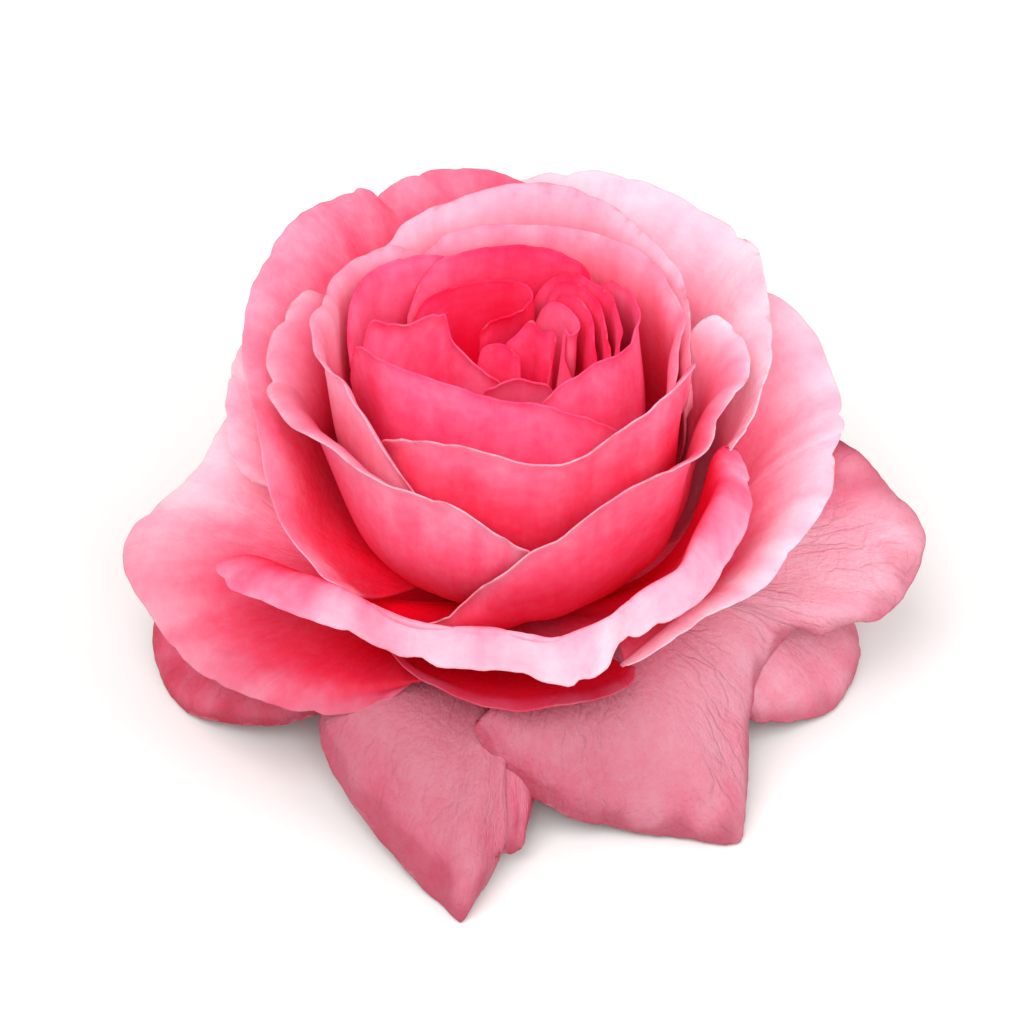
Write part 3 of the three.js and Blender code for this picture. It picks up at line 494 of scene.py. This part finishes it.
def skin(points, from_edge, measures):
    """Vertices, faces and per-vertex measures of a closed blade; its second half looks into the bloom"""
    rows, columns = points.shape[:2]
    half = (MARGIN + (BLADE - MARGIN) * np.clip(from_edge / MARGIN_REACH, 0, 1))[..., None] / 2
    out = facing(points)
    verts = np.concatenate([(points + out * half).reshape(-1, 3), (points - out * half).reshape(-1, 3)])
    under = rows * columns
    grid = np.arange(under).reshape(rows, columns)
    a, b, c, d = (x.ravel() for x in (grid[:-1, :-1], grid[:-1, 1:], grid[1:, 1:], grid[1:, :-1]))
    faces = [np.stack([a, b, c, d], 1), np.stack([a, d, c, b], 1) + under]
    ring = np.concatenate([grid[0, :-1], grid[:-1, -1], grid[-1, :0:-1], grid[:0:-1, 0]])
    after = np.roll(ring, -1)
    faces.append(np.stack([after, ring, ring + under, after + under], 1))
    twice = {key: np.concatenate([value.ravel(), value.ravel()]) for key, value in measures.items()}
    if "inner_gain" in twice:
        twice["layers"][under:] *= twice.pop("inner_gain")[under:]
    return verts, np.concatenate(faces), twice


def add_mesh(name, verts, faces, measures=None):
    """Mesh object from points in millimetres, with one number per vertex for each measure"""
    mesh = bpy.data.meshes.new(name)
    metres = (np.asarray(verts) + CENTRE_SHIFT) * MM
    mesh.from_pydata(metres.tolist(), [], [list(map(int, face)) for face in faces])
    for key, value in (measures or {}).items():
        mesh.attributes.new(key, "FLOAT", "POINT").data.foreach_set("value", np.asarray(value, np.float32))
    mesh.shade_smooth()
    obj = bpy.data.objects.new(name, mesh)
    bpy.context.scene.collection.objects.link(obj)
    return obj


def stand_for(obj, node, material):
    """Gives a piece its material and body, and takes the place of the CAD node"""
    obj.data.materials.append(material)
    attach(obj, "root")
    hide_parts(node)


print("Blade", BLADE, "mm, margin", MARGIN, "mm")

# %% [markdown]
# A petal's skin is made of tiny domed cells, which give it a soft velvet
# gloss. Its pigment sits in those cells: saturated at the foot, where several
# layers overlap, and thin at the margin, where the petal fades to pale pink.
# Light also wanders inside the blade, but it comes out within half a
# millimetre, so at this size the pigment alone says how a petal looks. Fine
# veins fan out from the foot, and dry air leaves small wrinkles across them.
# All of it is drawn by nodes from measures in millimetres, so no image is
# needed.

# %% Colours and nodes
def linear(hexa, alpha=1.0):
    """sRGB hex colour as the linear values that Blender works with"""
    channels = [int(hexa[i:i + 2], 16) / 255 for i in (1, 3, 5)]
    return [c / 12.92 if c <= 0.04045 else ((c + 0.055) / 1.055) ** 2.4 for c in channels] + [alpha]


def node(tree, kind, settings=None, out=0, **links):
    """Adds a node with its settings, sets or links its inputs, and returns one of its outputs"""
    made = tree.nodes.new("ShaderNode" + kind)
    for key, value in (settings or {}).items():
        setattr(made, key, value)
    for key, value in links.items():
        socket = made.inputs[int(key[1:])] if key[0] == "_" else made.inputs[key.replace("_", " ")]
        if isinstance(value, bpy.types.NodeSocket):
            tree.links.new(value, socket)
        else:
            socket.default_value = value
    return made.outputs[out] if made.outputs else made


ADD_TIMES = dict(operation="MULTIPLY_ADD")  # _0 * _1 + _2
BLEND = dict(data_type="RGBA")  # from colour _6 to colour _7 by _0


def new_material(name):
    """A material without nodes, and its node tree"""
    material = bpy.data.materials.new(name)
    material.use_nodes = True
    material.node_tree.nodes.clear()
    return material, material.node_tree


# %% Sizes on a petal's skin
VEIN_SPACING, VEIN_LENGTH = 1.6, 12  # mm, at the rim
MOTTLE_SIZE = 1.8  # mm, uneven patches of pigment
WRINKLE_SIZE = 0.9  # mm; the skin's real cells of 0.03 mm are too fine to show and are drawn coarser
CREASES = [(1.3, 2.8, 0.35), (3.2, 10, 1.2)]  # width and length of the fields between folds, depth of folds
CREASE_BEND, CREASE_BEND_SIZE = 2.6, 3.5  # mm, how far and over what length the folds wander
VEIN_WIDTH, CREASE_WIDTH = 0.06, 0.11  # as shares of one step of their patterns
EVEN, MOTTLED, STREAKED, VEINED = 0.76, 0.35, 0.12, 0.03  # what each pattern adds to the layers of pigment
GRAIN_HEIGHT = 0.3  # mm, what one unit of relief stands for
MOTTLE_RELIEF, VEIN_RELIEF = 0.25, 0.05
DRY_SPOTS, DRY_FROM, DRY_TO, DRY_MOST = 1.2, 0.95, 1.4, 0.75  # how the mottle breaks up a dried margin
NOISE_LOW, NOISE_HIGH = 0.3, 0.7  # most of a noise lies between them
SMOOTHEST, ROUGHEST = 0.48, 0.6  # the soft gloss of velvet cells
print("Veins", VEIN_SPACING, "mm apart at the rim, wrinkles", WRINKLE_SIZE, "mm")

# %% Petal skin
TINGE = "#00001e"  # the trace of blue that even many layers of pigment leave, which makes deep red crimson
# DULL_AND_SHADE is the grey of an old petal, and also painted shade on petals that lie in shade
DULL_AND_SHADE, WITHERED = "#b08c92", "#b9707c"  # the grey of an old petal, the brown of its dried margin


def petal_skin(name, wrinkle, crease, gloss, pigment):
    """Velvet skin of a petal; wrinkle and crease are the depths of its fine and its leathery folds"""
    material, tree = new_material(name)
    measure = {key: node(tree, "Attribute", dict(attribute_name=key), out="Fac")
               for key in ("across", "far", "layers", "dull_and_shade", "dried", "creased")}
    flat = dict(noise_dimensions="2D")

    # Flat coordinates on the blade, in millimetres, and the same squeezed into a fan of veins
    place = node(tree, "CombineXYZ", X=measure["across"], Y=measure["far"])
    fan = node(tree, "VectorMath", dict(operation="MULTIPLY"), _0=place,
               _1=(1 / VEIN_SPACING, 1 / VEIN_LENGTH, 0))
    mottle = node(tree, "TexNoise", flat, Vector=place, Scale=1 / MOTTLE_SIZE, Detail=2.0)
    streaks = node(tree, "TexNoise", flat, Vector=fan, Scale=1.0, Detail=1.0)
    # A vein runs wherever the streaks pass through their middle value
    off_vein = node(tree, "Math", dict(operation="SUBTRACT"), _0=streaks, _1=0.5)
    off_vein = node(tree, "Math", dict(operation="ABSOLUTE"), _0=off_vein)
    veins = node(tree, "MapRange", _0=off_vein, _1=0.0, _2=VEIN_WIDTH, _3=1.0, _4=0.0)

    # Light crosses the layers of pigment, and each layer takes the same share of it
    uneven = EVEN
    for pattern, depth in ((mottle, MOTTLED), (streaks, STREAKED), (veins, VEINED)):
        uneven = node(tree, "Math", ADD_TIMES, _0=pattern, _1=depth, _2=uneven)
    layers = node(tree, "Math", dict(operation="MULTIPLY"), _0=measure["layers"], _1=uneven)
    ink = node(tree, "Gamma", Color=linear(pigment), Gamma=layers)
    ink = node(tree, "Mix", dict(data_type="RGBA", blend_type="ADD"), out=2, _0=1.0, _6=ink, _7=linear(TINGE))
    # The dull measure greys the colour: an old petal's grey, and painted shade where a petal lies in shade
    colour = node(tree, "Mix", dict(data_type="RGBA", blend_type="MULTIPLY"), out=2,
                  _0=measure["dull_and_shade"], _6=ink, _7=linear(DULL_AND_SHADE))
    dried = node(tree, "Math", ADD_TIMES, _0=mottle, _1=DRY_SPOTS, _2=measure["dried"])
    dried = node(tree, "MapRange", _0=dried, _1=DRY_FROM, _2=DRY_TO, _3=0.0, _4=DRY_MOST)
    colour = node(tree, "Mix", BLEND, out=2, _0=dried, _6=colour, _7=linear(WITHERED))

    # Relief: wrinkles and veins, and on old petals a few long creases between finer leathery folds
    relief = node(tree, "Math", dict(operation="MULTIPLY"), _0=mottle, _1=MOTTLE_RELIEF)
    relief = node(tree, "Math", ADD_TIMES, _0=veins, _1=VEIN_RELIEF, _2=relief)
    if crease:
        crinkle = node(tree, "TexNoise", flat, Vector=place, Scale=1 / WRINKLE_SIZE, Detail=2.0,
                       Roughness=0.6)
        relief = node(tree, "Math", ADD_TIMES, _0=crinkle, _1=wrinkle, _2=relief)
        bent = node(tree, "TexNoise", flat, out="Color", Vector=place, Scale=1 / CREASE_BEND_SIZE, Detail=1.0)
        bent = node(tree, "VectorMath", ADD_TIMES, _0=bent, _1=(CREASE_BEND, CREASE_BEND, 0), _2=place)
        for width, length, depth in CREASES:
            cells = node(tree, "VectorMath", dict(operation="MULTIPLY"), _0=bent,
                         _1=(1 / width, 1 / length, 0))
            net = node(tree, "TexVoronoi", dict(voronoi_dimensions="2D", feature="DISTANCE_TO_EDGE"),
                       Vector=cells, Scale=1.0)
            valley = node(tree, "MapRange", _0=net, _1=0.0, _2=CREASE_WIDTH, _3=-depth * crease, _4=0.0)
            relief = node(tree, "Math", ADD_TIMES, _0=valley, _1=measure["creased"], _2=relief)
    bump = node(tree, "Bump", Strength=0.6, Distance=GRAIN_HEIGHT * MM, Height=relief)
    roughness = node(tree, "MapRange", _0=mottle, _1=NOISE_LOW, _2=NOISE_HIGH, _3=SMOOTHEST, _4=ROUGHEST)
    shader = node(tree, "BsdfPrincipled", Base_Color=colour, Roughness=roughness, IOR=1.4,
                  Specular_IOR_Level=gloss, Normal=bump)
    node(tree, "OutputMaterial", Surface=shader)
    return material


# Sun and weather have creased the outer petals; the inner ones are fresh, and their pigment is bluer
SKINS = {
    "guard": petal_skin("Rose petal, weathered", 1.3, 1, 0.22, "#ff8ba5"),
    "outer": petal_skin("Rose petal, outer", 0.3, 0.3, 0.22, "#ff8ba5"),
    "cup": petal_skin("Rose petal, cup", 0, 0, 0.2, "#ff8ba6"),
    "heart": petal_skin("Rose petal, heart", 0, 0, 0.12, "#ff8aad"),
}
print(len(SKINS), "petal skins")

# %% [markdown]
# How much pigment there is at each point could be drawn by nodes as well, but
# it depends on the petal: its ring, its place in the bloom and how old it is.
# So the points carry it. Layers of pigment thin out from the foot to the rim,
# lie in soft patches, and are changed petal by petal from left to right. Some of
# these changes, and some of the greying, are painted shade where a petal lies
# under another or turns away from the light.

# %% Pigment
# Layers of pigment at foot, wall and rim, how patchy they are, how pale and how dry the margin is.
# A negative paleness darkens the very edge as painted shade: on the cup's and the heart's petals it
# covers the light that their thin edges catch, and on the guards it is partly painted shade on the
# margin that rolls under and partly that margin's dusky pigment.
LAYERS = {
    "guard": (1.2, 0.9, 1.15, 0.18, -0.4, 0.5),
    "outer": (2.0, 1.15, 0.65, 0.28, 0.1, 0.22),
    "cup": (2.4, 1.75, 1.0, 0.15, -0.1, 0.35),
    "heart": (3.5, 2.15, 1.4, 0.12, -0.4, 0.25),
}
# How rich each petal is beside the rest of its ring, from its left edge to its right one. Mostly the
# petal's own pigment, but the extra layers of front_under under the lip and at the right end of
# left_wide are painted shade, and the thin middle of guard_front_right is painted light in the
# shade beside right_wide.
RICHNESS_AND_SHADE = {
    "guard_left": [1, 1.15, 1.35, 1.15, 1], "guard_right_low": [0.68], "guard_back_right": [0.75],
    "guard_front_left": [0.66, 0.72, 0.9], "guard_front_right": [0.8, 0.7, 0.58, 0.5, 1.1],
    "left_wide": [0.8, 0.6, 0.66, 1.4, 1.95, 2.1, 1.8], "back_right_outer": [0.75],
    "front_under": [2.6], "right_wide": [0.82, 0.85, 0.85],
    "front_lip": [2.6, 2.4, 1.4, 0.88, 0.72, 1.2, 2.2, 2.8], "back_right": [0.9, 0.7, 0.6],
    "back_left": [2.3, 2.4, 1.65, 1], "left_side": [2, 1.8, 1.6, 1.6, 1.4],
    "right_front": [1.15, 1.3, 1.4, 0.7, 0], "left_front": [0.85, 1, 1.15], "back_light": [0.65],
    "left_inner": [0.8], "front_mid": [1.35, 1.35, 1.35, 1.4, 1.8], "back_mid": [0.95],
    "back_inner": [1.2, 1.6, 1.5, 1, 0.9], "right_nest_1": [1.3], "right_nest_2": [1.35],
    "right_nest_3": [1.4], "heart_back": [1.6], "heart_cave": [1.3], "heart_lobe": [1.3],
}
# How much richer the face that looks into the bloom is, deep inside it
INNER_GAIN = {"guard": 0, "outer": 0.2, "cup": 0.7, "heart": 0.3}
# How grey its colour is, from left to right: partly the grey of old petals, partly painted shade,
# as on front_under under the lip, on guard_left, at the left end of left_side and at the right end
# of left_wide
DULLNESS_AND_SHADE = {
    "guard_left": [0.3, 0.4, 0.5, 0.8, 0.9], "guard_right_low": [0.5], "guard_back_right": [0.3],
    "guard_back_left": [0.3], "guard_front_left": [0.95, 0.85, 0.6],
    "guard_front_right": [0.85, 0.85, 0.55, 0.2, 0.65],
    "left_wide": [0, 0, 0.15, 0.5, 0.65, 0.75, 0.75], "front_under": [0.8], "back_left": [0.2],
    "left_side": [0.5, 0.2, 0, 0, 0], "right_front": [0.3, 0.4, 0.1, 0], "left_front": [0.25],
}
# How far a margin has bleached
BLEACHED = {"front_lip": 0.2, "right_front": 0.5, "left_front": 0.4, "front_mid": 0.35}
# How strongly a petal is creased, from left to right
CREASED = {
    "guard_left": [0.4], "guard_right_low": [0.3], "guard_back_right": [0.5], "guard_back_left": [0.5],
    "guard_front_left": [0.7, 0.4, 0.25], "guard_front_right": [0.5, 0.7, 1, 1, 0.8],
    "left_wide": [0.7, 0.8, 0.5, 0.3, 0.3], "left_side": [0.6, 0.3, 0.2],
}
SLIGHTLY_CREASED = 0.15  # all other petals
print("Most layers of pigment:", max(max(LAYERS[ring][:3]) for ring in LAYERS))

# %% Pigment of a petal
CLOUD_SIZE, CREASE_PATCH_SIZE, DRY_PATCH_SIZE = 8, 14, 6  # mm, soft patches of pigment, creases, dryness
CLOUD_SHIFT, CLOUD_TINT = 0.08, 0.07  # how far they move the tones along the petal, how much they add
STREAK_WIDTH, STREAK_LENGTH = 6, 18  # mm, patches that follow the veins
BLEACH_REACH, DRY_REACH = 0.7, 0.8  # mm
# A guard greys towards its rim with weather, and is darker there with painted shade on the margin that rolls
# under
GUARD_RIM_GREY_AND_SHADE = 0.35  # how much greyer a guard petal is towards its rim
APART = 41.3  # mm between the petals' places in the textures, so that no two look alike
# Where one tone passes into the next, from 0 at the foot to 1 at the rim
FOOT_TO_WALL, WALL_TO_RIM, EVEN_TO_PATCHY = (0.1, 0.5), (0.5, 0.98), (0.4, 0.9)
DEEP_TO_OPEN, FRESH_TO_GREY_AND_SHADED = (0.55, 0.92), (0.85, 1)
SMOOTH_TO_CREASED = (-0.9, 0.7)  # heights of the hills that mask the creases
PALE_PATCHY, DRY_PATCHY = 0.5, 1.2  # how uneven the margin's paleness and dryness are


def spread(share, low, high):
    """Smooth step from 0 below low to 1 above high"""
    step = np.clip((share - low) / (high - low), 0, 1)
    return step * step * (3 - 2 * step)


def stained(petal, layer, measures, index, dice):
    """Place, pigment, greyness, dryness and creases at each point; pigment and greyness hold some painted
    shade
    """
    foot, wall, rim, patchy, edge_bleach_and_shade, dry = LAYERS[layer]
    across, far, from_edge = measures["across"], measures["far"], measures["from_edge"]
    cloud = swells(dice, across, far, CLOUD_SIZE)
    patch = swells(dice, across / STREAK_WIDTH, far / STREAK_LENGTH, 1)
    tone = measures["along"] + CLOUD_SHIFT * cloud
    layers = foot + (wall - foot) * spread(tone, *FOOT_TO_WALL) + (rim - wall) * spread(tone, *WALL_TO_RIM)
    share = np.linspace(0, 1, across.shape[1])
    layers = layers * ramp(RICHNESS_AND_SHADE.get(petal["name"], [1]), share)
    layers = layers * (1 + CLOUD_TINT * cloud + patchy * patch * spread(tone, *EVEN_TO_PATCHY))
    edge_bleach_and_shade = BLEACHED.get(petal["name"], edge_bleach_and_shade)
    # Where this is positive the margin is bleached; where it is negative the edge is darkened as painted
    # shade
    layers = layers * (1 - edge_bleach_and_shade * (1 + PALE_PATCHY * cloud) * np.exp(-from_edge / BLEACH_REACH))
    dull_and_shade = ramp(DULLNESS_AND_SHADE.get(petal["name"], [0]), share) + 0 * far
    # On the guards the rim greys with weather and gets painted shade where the margin rolls under
    if layer == "guard":
        dull_and_shade = np.clip(dull_and_shade + GUARD_RIM_GREY_AND_SHADE * spread(tone, *FRESH_TO_GREY_AND_SHADED), 0, 1)
    inner_gain = 1 + INNER_GAIN[layer] * (1 - spread(measures["along"], *DEEP_TO_OPEN))
    creased = ramp(CREASED.get(petal["name"], [SLIGHTLY_CREASED]), share)
    creased = creased * spread(swells(dice, across, far, CREASE_PATCH_SIZE), *SMOOTH_TO_CREASED)
    dry_patches = 1 + DRY_PATCHY * swells(dice, across, far, DRY_PATCH_SIZE)
    dried = dry * np.exp(-from_edge / DRY_REACH) * dry_patches
    return dict(across=across + APART * index, far=far, layers=layers, inner_gain=inner_gain, dull_and_shade=dull_and_shade,
                dried=dried, creased=creased)


print("Half way from wall to rim the tone has changed by", spread(0.74, *WALL_TO_RIM))

# %% Grow the petals
SEED_PETALS = 400
petal_faces = 0
for index, petal in enumerate(PETALS):
    layer = layer_of(index, petal["name"])
    dice = np.random.default_rng(SEED_PETALS + index)
    points, measures = finished_petal(petal, layer, dice)
    coat = stained(petal, layer, measures, index, dice)
    obj = add_mesh("skin_" + petal["name"], *skin(points, measures["from_edge"], coat))
    stand_for(obj, petal["name"], SKINS[layer])
    petal_faces += len(obj.data.polygons)
print(len(PETALS), "petals,", petal_faces, "faces")

# %% [markdown]
# Five sepals once wrapped the bud. They are narrow green leaves with a keel
# along the middle, a shallow trough and a thin drawn-out tip, and they bend
# down under the open bloom. The same lattice of points makes them; the keel
# is a low ridge on the outer face.

# %% Sepals
SEPAL_AZIMUTHS = [-12, 60, 132, 204, 276]
SEPAL_PATH = np.array([[5.2, 12.6], [13, 15.6], [21, 13], [26, 3.5]])  # radius, height
SEPAL_LENGTH = 30  # mm, along the path
SEPAL_HALF_WIDTH, SEPAL_TIP_HALF, SEPAL_TROUGH = 4.2, 0.35, 0.9
SEPAL_UNEVEN, SEPAL_HILLS = 0.06, 0.15  # share of the width, mm
KEEL_HEIGHT, KEEL_HALF_WIDTH = 0.35, 0.6


def finished_sepal(azimuth, dice):
    """Middle surface of a sepal, and each point's distance from its side edges"""
    u, v = np.linspace(-1, 1, 33), np.linspace(0, 1, 49)
    s, w = 1 - v, v
    weights = np.stack([s ** 3, 3 * s * s * w, 3 * s * w * w, w ** 3], 1)
    radius, height = (weights @ SEPAL_PATH).T
    swell = 0.62 + 0.38 * np.sin(np.pi * np.minimum(1, v * 1.6))
    half = SEPAL_TIP_HALF + SEPAL_HALF_WIDTH * s ** 0.8 * swell
    edge = 1 + SEPAL_UNEVEN * ripple(dice, v * SEPAL_LENGTH, 5) * np.clip(s * 3, 0, 1)
    across = u * half[:, None]
    towards, aside = outward(np.array(float(azimuth))), outward(np.array(azimuth + 90.0))
    points = radius[:, None, None] * towards + (u * (half * edge)[:, None])[..., None] * aside
    keel = KEEL_HEIGHT * np.exp(-(across / KEEL_HALF_WIDTH) ** 2) * np.clip(s * 2, 0, 1)[:, None]
    points = points + UP * (height[:, None] + SEPAL_TROUGH * u ** 2 * s[:, None] - keel)[..., None]
    hills = SEPAL_HILLS * swells(dice, across, v[:, None] * SEPAL_LENGTH + 0 * u, 6)
    points = points + UP * hills[..., None]
    return points, half[:, None] - abs(across)


sample = finished_sepal(0, np.random.default_rng(1))[1]
print("A sepal is", (2 * sample.max()).round(1), "mm wide")

# %% [markdown]
# Sepal, hip and stub are one family of finishes: a waxy green skin over pale
# flesh. Wax makes them glossier than the petals. Small pale dots and fine
# lengthwise lines keep the green alive, and the sunny side blushes red.

# %% Green skin
LINE_WIDTH, BLUSH_SIZE, DOT_SIZE = 1.1, 5, 0.8  # mm


def green_skin(name, base, light, blush, stretch, roughness):
    """Waxy green skin with lengthwise lines, pale dots and a red blush"""
    material, tree = new_material(name)
    place = node(tree, "TexCoord", out="Object")
    stretched = node(tree, "Mapping", Vector=place, Scale=stretch)
    lines = node(tree, "TexNoise", Vector=stretched, Scale=1 / (LINE_WIDTH * MM), Detail=4.0)
    patches = node(tree, "TexNoise", Vector=place, Scale=1 / (BLUSH_SIZE * MM), Detail=3.0)
    dots = node(tree, "TexVoronoi", out="Distance", Vector=place, Scale=1 / (DOT_SIZE * MM))
    # Two greens in lines, a blush in some of the patches, and a pale speck in the middle of each dot
    shades = node(tree, "MapRange", _0=lines, _1=0.35, _2=0.65)
    colour = node(tree, "Mix", BLEND, out=2, _0=shades, _6=linear(base), _7=linear(light))
    flush = node(tree, "MapRange", _0=patches, _1=0.52, _2=0.75, _3=0.0, _4=0.55)
    colour = node(tree, "Mix", BLEND, out=2, _0=flush, _6=colour, _7=linear(blush))
    speck = node(tree, "MapRange", _0=dots, _1=0.12, _2=0.22, _3=0.5, _4=0.0)
    colour = node(tree, "Mix", BLEND, out=2, _0=speck, _6=colour, _7=linear(light))
    bump = node(tree, "Bump", Strength=0.4, Distance=0.12 * MM, Height=lines)
    shader = node(tree, "BsdfPrincipled", Base_Color=colour, Roughness=roughness, IOR=1.45,
                  Subsurface_Weight=0.15, Subsurface_Radius=(0.6, 1.0, 0.3), Subsurface_Scale=0.8 * MM,
                  Normal=bump)
    node(tree, "OutputMaterial", Surface=shader)
    return material


SEED_SEPALS = 700
sepal_leaf = green_skin("Sepal leaf", "#5d7f3a", "#8faf5f", "#8a4a45", (1, 1, 1), 0.5)
hip_skin = green_skin("Rose hip and stem skin, waxy", "#6f9145", "#a3bd6c", "#9a5a4a", (1, 1, 0.25), 0.38)
for i, azimuth in enumerate(SEPAL_AZIMUTHS):
    points, from_edge = finished_sepal(azimuth, np.random.default_rng(SEED_SEPALS + i))
    obj = add_mesh(f"leaf_sepal_{i + 1}", *skin(points, from_edge, {}))
    stand_for(obj, f"sepal_{i + 1}", sepal_leaf)
print(len(SEPAL_AZIMUTHS), "sepals")

# %% [markdown]
# Under the sepals sits the hip, a small green urn that would swell into the
# fruit, on the stub of the stem. The petals' feet stand on the cone above
# it. A lathe shape is right for all of it, with the outline slightly uneven.

# %% Hip, stub and cone
HIP_CURVE = [(2.5, 4), (2.9, 6), (4.4, 8), (4.9, 10.2), (4.2, 12.2), (4.4, 14), (8, 15)]  # radius, height


def lathe(profile, segments, uneven=0.0, dice=None):
    """Closed turned mesh round the bloom's axis; profile starts and ends on the axis"""
    turn = np.linspace(0, 2 * np.pi, segments, endpoint=False)
    verts, faces = [(0, 0, profile[0][1])], []
    waves = ripple(dice, turn * 9 / np.pi, 6) if uneven else 0 * turn
    for radius, height in profile[1:-1]:
        ring = radius * (1 + uneven * waves * min(1, height / 3))
        verts += [(r * math.cos(t), r * math.sin(t), height) for r, t in zip(ring + 0 * turn, turn)]
    verts.append((0, 0, profile[-1][1]))
    rings = len(profile) - 2
    for k in range(segments):
        n = (k + 1) % segments
        faces.append((0, 1 + n, 1 + k))
        for first in range(1, 1 + (rings - 1) * segments, segments):
            faces.append((first + k, first + n, first + segments + n, first + segments + k))
        last = 1 + (rings - 1) * segments
        faces.append((last + k, last + n, len(verts) - 1))
    return verts, faces


smooth_profile = [(0, 0), (2.3, 0), (2.45, 0.12)]
smooth_profile += [tuple(p) for p in curve_through(HIP_CURVE, np.linspace(0, 1, 40))]
smooth_profile += [(9.1, 15.3), (9.25, 15.5), (9.1, 15.7), (6.5, 18.2), (3.7, 20.95), (1.3, 23.1), (0, 23.3)]
SEGMENTS, UNEVEN, SEED_HIP = 72, 0.012, 800
hip = add_mesh("hip_and_stub", *lathe(smooth_profile, SEGMENTS, UNEVEN, np.random.default_rng(SEED_HIP)))
stand_for(hip, "receptacle", hip_skin)
print("Hip is", round(2 * max(r for r, z in smooth_profile if z < 13), 1), "mm across")

# %% [markdown]
# Deep in the heart a tuft of styles stands on the cone's tip. Each one is a
# thin stalk with a small sticky knob. Separate turned stalks, slightly
# splayed, are joined into one piece. Their skin is thin and waxy, so light
# glows through it and the yellow looks warm.

# %% Styles
STYLE_COUNT, STYLE_FOOT, STYLE_LENGTH = 13, 23.6, 8.4
STALK = [(0, 23.6), (0.16, 23.6), (0.16, 30.6), (0.3, 31.1), (0.34, 31.6), (0.2, 32.0), (0, 32.05)]
TURN_BETWEEN = 2.4  # radians, the golden angle by which each next style stands round the tuft
style_verts, style_faces = [], []
# The later a style stands in the row, the further out it leans, and each set of four has four heights
for k in range(STYLE_COUNT):
    verts, faces = lathe(STALK, 10)
    turn, splay = k * TURN_BETWEEN, 0.2 + 0.48 * math.sqrt(k / STYLE_COUNT)
    lean = np.array([math.cos(turn), math.sin(turn), 0]) * splay
    verts = np.array(verts, float)
    grown = ((verts[:, 2] - STYLE_FOOT) / STYLE_LENGTH)[:, None]
    verts += lean * (0.45 + 0.55 * grown) - UP * grown * 0.12 * (k % 4)
    style_faces += [tuple(i + len(style_verts) for i in face) for face in faces]
    style_verts += verts.tolist()
styles = add_mesh("style_tuft", style_verts, style_faces)
style_skin, tree = new_material("Style stalks, waxy yellow")
place = node(tree, "TexCoord", out="Object")
tint = node(tree, "TexNoise", Vector=place, Scale=1 / (0.9 * MM), Detail=2.0)
colour = node(tree, "Mix", BLEND, out=2, _0=tint, _6=linear("#e2b160"), _7=linear("#f1d79a"))
shader = node(tree, "BsdfPrincipled", Base_Color=colour, Roughness=0.5, IOR=1.45,
              Subsurface_Weight=0.2, Subsurface_Radius=(1.0, 0.7, 0.3), Subsurface_Scale=0.5 * MM)
node(tree, "OutputMaterial", Surface=shader)
stand_for(styles, "styles", style_skin)
print(STYLE_COUNT, "styles")

# %% [markdown]
# The bloom is shown on a plain pale floor, in light like that of a bright
# overcast day: a pale sky from all round, one broad soft lamp from the front
# left and above, a weak one from the right and a small one beside the camera
# that opens the gaps between the petals.

# %% Floor
FLOOR_HALF = 3000
floor = add_mesh("floor", [(-FLOOR_HALF, -FLOOR_HALF, 0), (FLOOR_HALF, -FLOOR_HALF, 0),
                           (FLOOR_HALF, FLOOR_HALF, 0), (-FLOOR_HALF, FLOOR_HALF, 0)], [(0, 1, 2, 3)])
# Matt paint spreads the light evenly, so no lamp is mirrored in it
floor_paint, tree = new_material("Studio floor, matt white paint")
shader = node(tree, "BsdfPrincipled", Base_Color=linear("#f4f3f2"), Roughness=0.8)
node(tree, "OutputMaterial", Surface=shader)
floor.data.materials.append(floor_paint)

# %% Light
SKY = 0.66
world = bpy.data.worlds.new("overcast sky")
world.use_nodes = True
world.node_tree.nodes["Background"].inputs[0].default_value = linear("#fffdfb")
world.node_tree.nodes["Background"].inputs[1].default_value = SKY
bpy.context.scene.world = world


def aimed(obj, place, target):
    """Puts a lamp or camera at a place and turns it to look at the target, both in metres"""
    obj.location = place
    obj.rotation_euler = (target - place).to_track_quat("-Z", "Y").to_euler()
    bpy.context.scene.collection.objects.link(obj)


def lamp(name, place, size, power):
    """Square lamp of a size in metres and a power in watts, aimed at the bloom"""
    data = bpy.data.lights.new(name, "AREA")
    data.size, data.energy = size, power
    aimed(bpy.data.objects.new(name, data), Vector(place), Vector((0, 0, 0.03)))


lamp("soft lamp left", (-0.3, -0.4, 0.95), 0.7, 5.5)
lamp("soft lamp right", (0.7, -0.25, 0.6), 0.7, 2)
lamp("soft lamp beside the camera", (0.05, -0.65, 0.6), 0.4, 2.3)
print("Sky strength", SKY)

# %% [markdown]
# The camera looks down at the bloom at 40 degrees from straight in front. A
# long lens from 45 cm keeps the petals' sizes true.

# %% Camera
ELEVATION, DISTANCE, LENS, SENSOR = 40, 450, 128.5, 36  # degrees, the rest mm
TARGET = np.array([-0.4, 0, 27.3]) + CENTRE_SHIFT
tilt = math.radians(ELEVATION)
place = TARGET + DISTANCE * np.array([0, -math.cos(tilt), math.sin(tilt)])
data = bpy.data.cameras.new("camera")
data.lens, data.sensor_width = LENS, SENSOR
data.clip_start, data.clip_end = 0.01, 20
camera = bpy.data.objects.new("camera", data)
aimed(camera, Vector((place * MM).tolist()), Vector((TARGET * MM).tolist()))
bpy.context.scene.camera = camera
bpy.context.scene.view_settings.view_transform = "Standard"
print("Camera", DISTANCE, "mm away,", ELEVATION, "degrees up")
